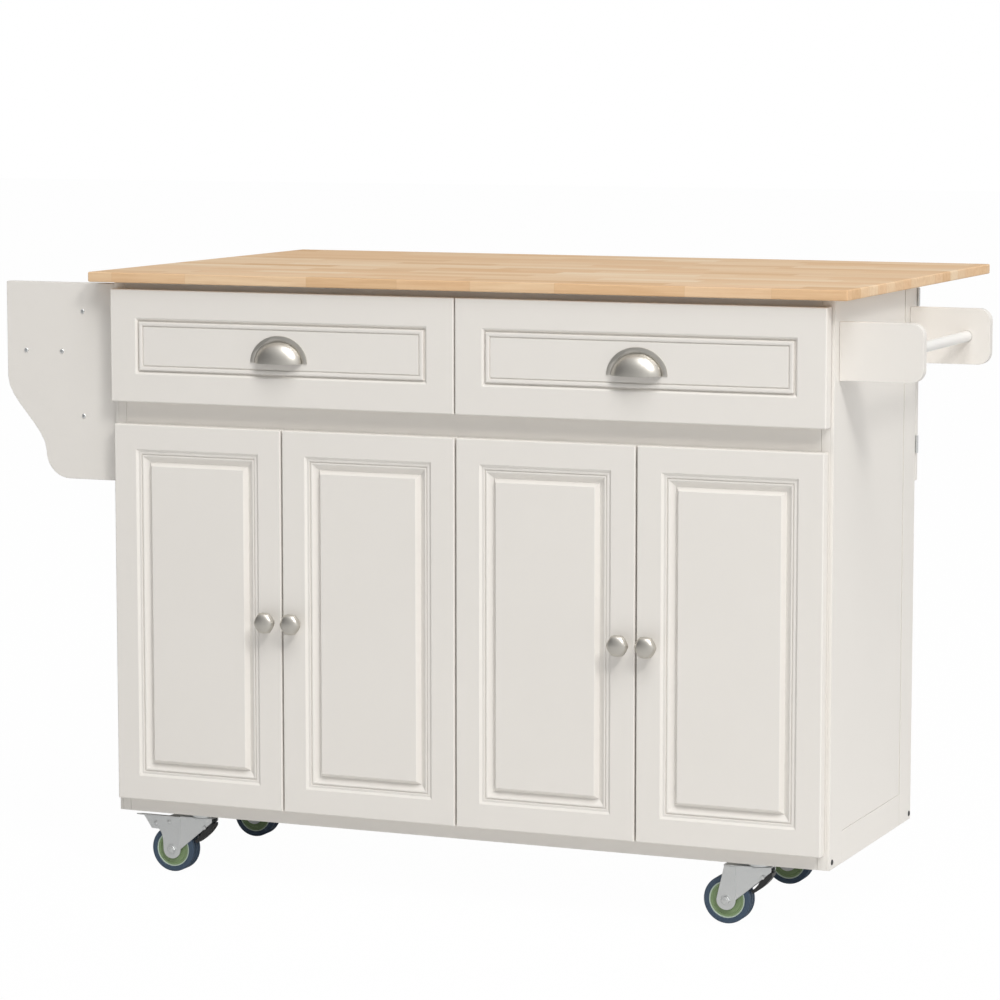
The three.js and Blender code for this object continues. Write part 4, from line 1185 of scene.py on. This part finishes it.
def add_wheel(caster):
    """A grooved tyre on a dished hub with a pale ring round its rim."""
    tyre, hub = f"wheel_tyre_{caster}", f"wheel_hub_{caster}"
    centre, tyre_half = centred_box(tyre)
    _, hub_half = centred_box(hub)

    def turned(profile, turn=TO_FRONT):
        """A closed profile in mm, turned round the axle."""
        return lathe(in_metres([*profile, profile[0]]), centre, turn, WHEEL_STEPS)

    half, rim = tyre_half.y / MM, hub_half.z / MM
    stand_in(tyre, turned(tyre_profile(tyre_half.z / MM, half)))
    face = half - 1.3
    disc = turned(hub_profile(rim, hub_half.y / MM, face))
    disc.data.materials.append(FINISHES["hub_plastic"])
    rings = [turned(ring_profile(rim, face), turn) for turn in (TO_BACK, TO_FRONT)]
    for pale in rings:
        pale.data.materials.append(RING_PLASTIC)
    stand_in(hub, merge(disc, *rings))


def tyre_profile(outer, half):
    """A rounded tyre with two grooves, drawn from its inner edge round and back."""
    inner, shoulder = outer - 8, 1.8
    rounded = arc(shoulder, 0, pi / 2, 8, (outer - shoulder, half - shoulder))
    side = rounded + [(inner + 0.6, half), (inner, half - 0.6)]
    groove = [(1.7, 0), (1.3, 0.3), (1.1, 1.6), (0.7, 2.0)]
    groove = [(-along, depth) for along, depth in groove] + groove[::-1]
    points = [(r, -h) for r, h in side[::-1]]
    for middle in (-half / 3, half / 3):
        points += [(outer - depth, middle + along) for along, depth in groove]
    return points + side


def hub_profile(rim, half, face):
    """The boss round the axle, a nearly flat face and the rim that carries the tyre."""
    bore, boss, web = 4.3, 9, face - 1.1
    points = [(bore, half), (boss - 0.5, half), (boss, half - 0.5), (boss + 0.4, web)]
    points += [(rim - 5.4, web), (rim - 4.4, face), (rim, face)]
    return [(r, -h) for r, h in points] + points[::-1]


def ring_profile(rim, face):
    """The thin pale ring between hub and tyre, on one side."""
    outline = [(-1.7, -0.4), (-1.6, 0.4), (-1.2, 0.8), (0, 0.8), (0.3, 0.3), (0.3, -0.4)]
    return [(rim + out, face + up) for out, up in outline]


# -------- studio

FLOOR_SIZE = 60
FLOOR_SHADE = 0.86
FLOOR_GLOW = 0.985  # share of plain white in what the camera sees of the floor
SKY_TOP, SKY_LOW = 0.34, 0.47  # light from straight above and from the horizon
SKY_RIGHT = 0.4  # how much more comes from the right than from the left
MIRROR_TOP, MIRROR_LOW = 1.05, 0.55  # the same sky as glossy surfaces see it
MIRROR_RISE = (0.5, 0.95)  # between which heights it goes from low to top
MIRROR_FLOOR = 0.85  # share of the floor's light that glossy surfaces see
LAMPS = (  # name, place, side of the square, power and colour
    ("key", (5.5, -5.3, 6.6), 1.8, 305, (1, 0.985, 0.965)),
    ("canopy", (2.4, -4.2, 9.2), 4.2, 385, (1, 1, 1)),
)
LAMP_TARGET = Vector((0, 0, 0.5))


def add_floor():
    """A pale floor that catches the part's shadow and runs out into white."""
    bpy.ops.mesh.primitive_plane_add(size=FLOOR_SIZE)
    floor = bpy.context.object
    floor.name = "floor"
    s = Shader("pale floor")
    shade = (FLOOR_SHADE,) * 3
    s.finish(Base_Color=s.mix(s.ray("Glossy"), shade, darker(shade, MIRROR_FLOOR)), Roughness=0.9)
    glow = s.node("ShaderNodeEmission", {"Color": (1, 1, 1), "Strength": 1.0})
    surface = Signal(s, s.surface.outputs[0])
    values = {0: s.ray("Camera") * FLOOR_GLOW, 1: surface, 2: glow}
    mixed = s.node("ShaderNodeMixShader", values)
    s.feed(s.tree.nodes["Material Output"], {"Surface": mixed})
    floor.data.materials.append(s.material)


def add_lamps():
    """Square softboxes that face the part."""
    for name, place, size, power, colour in LAMPS:
        data = bpy.data.lights.new(name, "AREA")
        data.size = size
        data.energy = power
        data.color = colour
        lamp = add_object(name, data)
        lamp.location = place
        lamp.rotation_euler = (LAMP_TARGET - Vector(place)).to_track_quat("-Z", "Y").to_euler()


def add_world():
    """White where the camera looks past the part; elsewhere a soft sky, brighter on the right."""
    world = bpy.data.worlds.new("studio")
    bpy.context.scene.world = world
    world.use_nodes = True
    g = Graph(world.node_tree)
    x, _, z = g.parts(g.node("ShaderNodeTexCoord", output="Generated"))
    height = g.remap(z, 0, 1, SKY_LOW, SKY_TOP)
    mirror = g.remap(z, *MIRROR_RISE, MIRROR_LOW, MIRROR_TOP)
    sky = g.remap(g.ray("Glossy"), 0, 1, height, mirror) + x * SKY_RIGHT
    direct = g.math("MAXIMUM", g.ray("Camera"), g.ray("Transmission"))
    strength = g.remap(direct, 0, 1, sky, 1.0)
    g.feed(g.tree.nodes["Background"], {"Color": (1, 1, 1), "Strength": strength})


# -------- the whole


def dress_solids():
    for node, solid in NODES.items():
        solid.data.materials.clear()
        solid.data.materials.append(FINISHES[SLOT_OF[node]])


STEPS = (
    add_camera, add_boards, add_sides, add_fronts, add_tops, add_knobs, add_pulls, add_rods,
    add_leaf_hinges, add_brackets, add_door_hinges, add_shelf_pins, add_casters,
    note_cabinet_screws, note_caster_screws, note_door_screws, add_screws, dress_solids,
    add_floor, add_world, add_lamps,
)
for step in STEPS:
    step()
bpy.context.scene.view_settings.view_transform = "Standard"
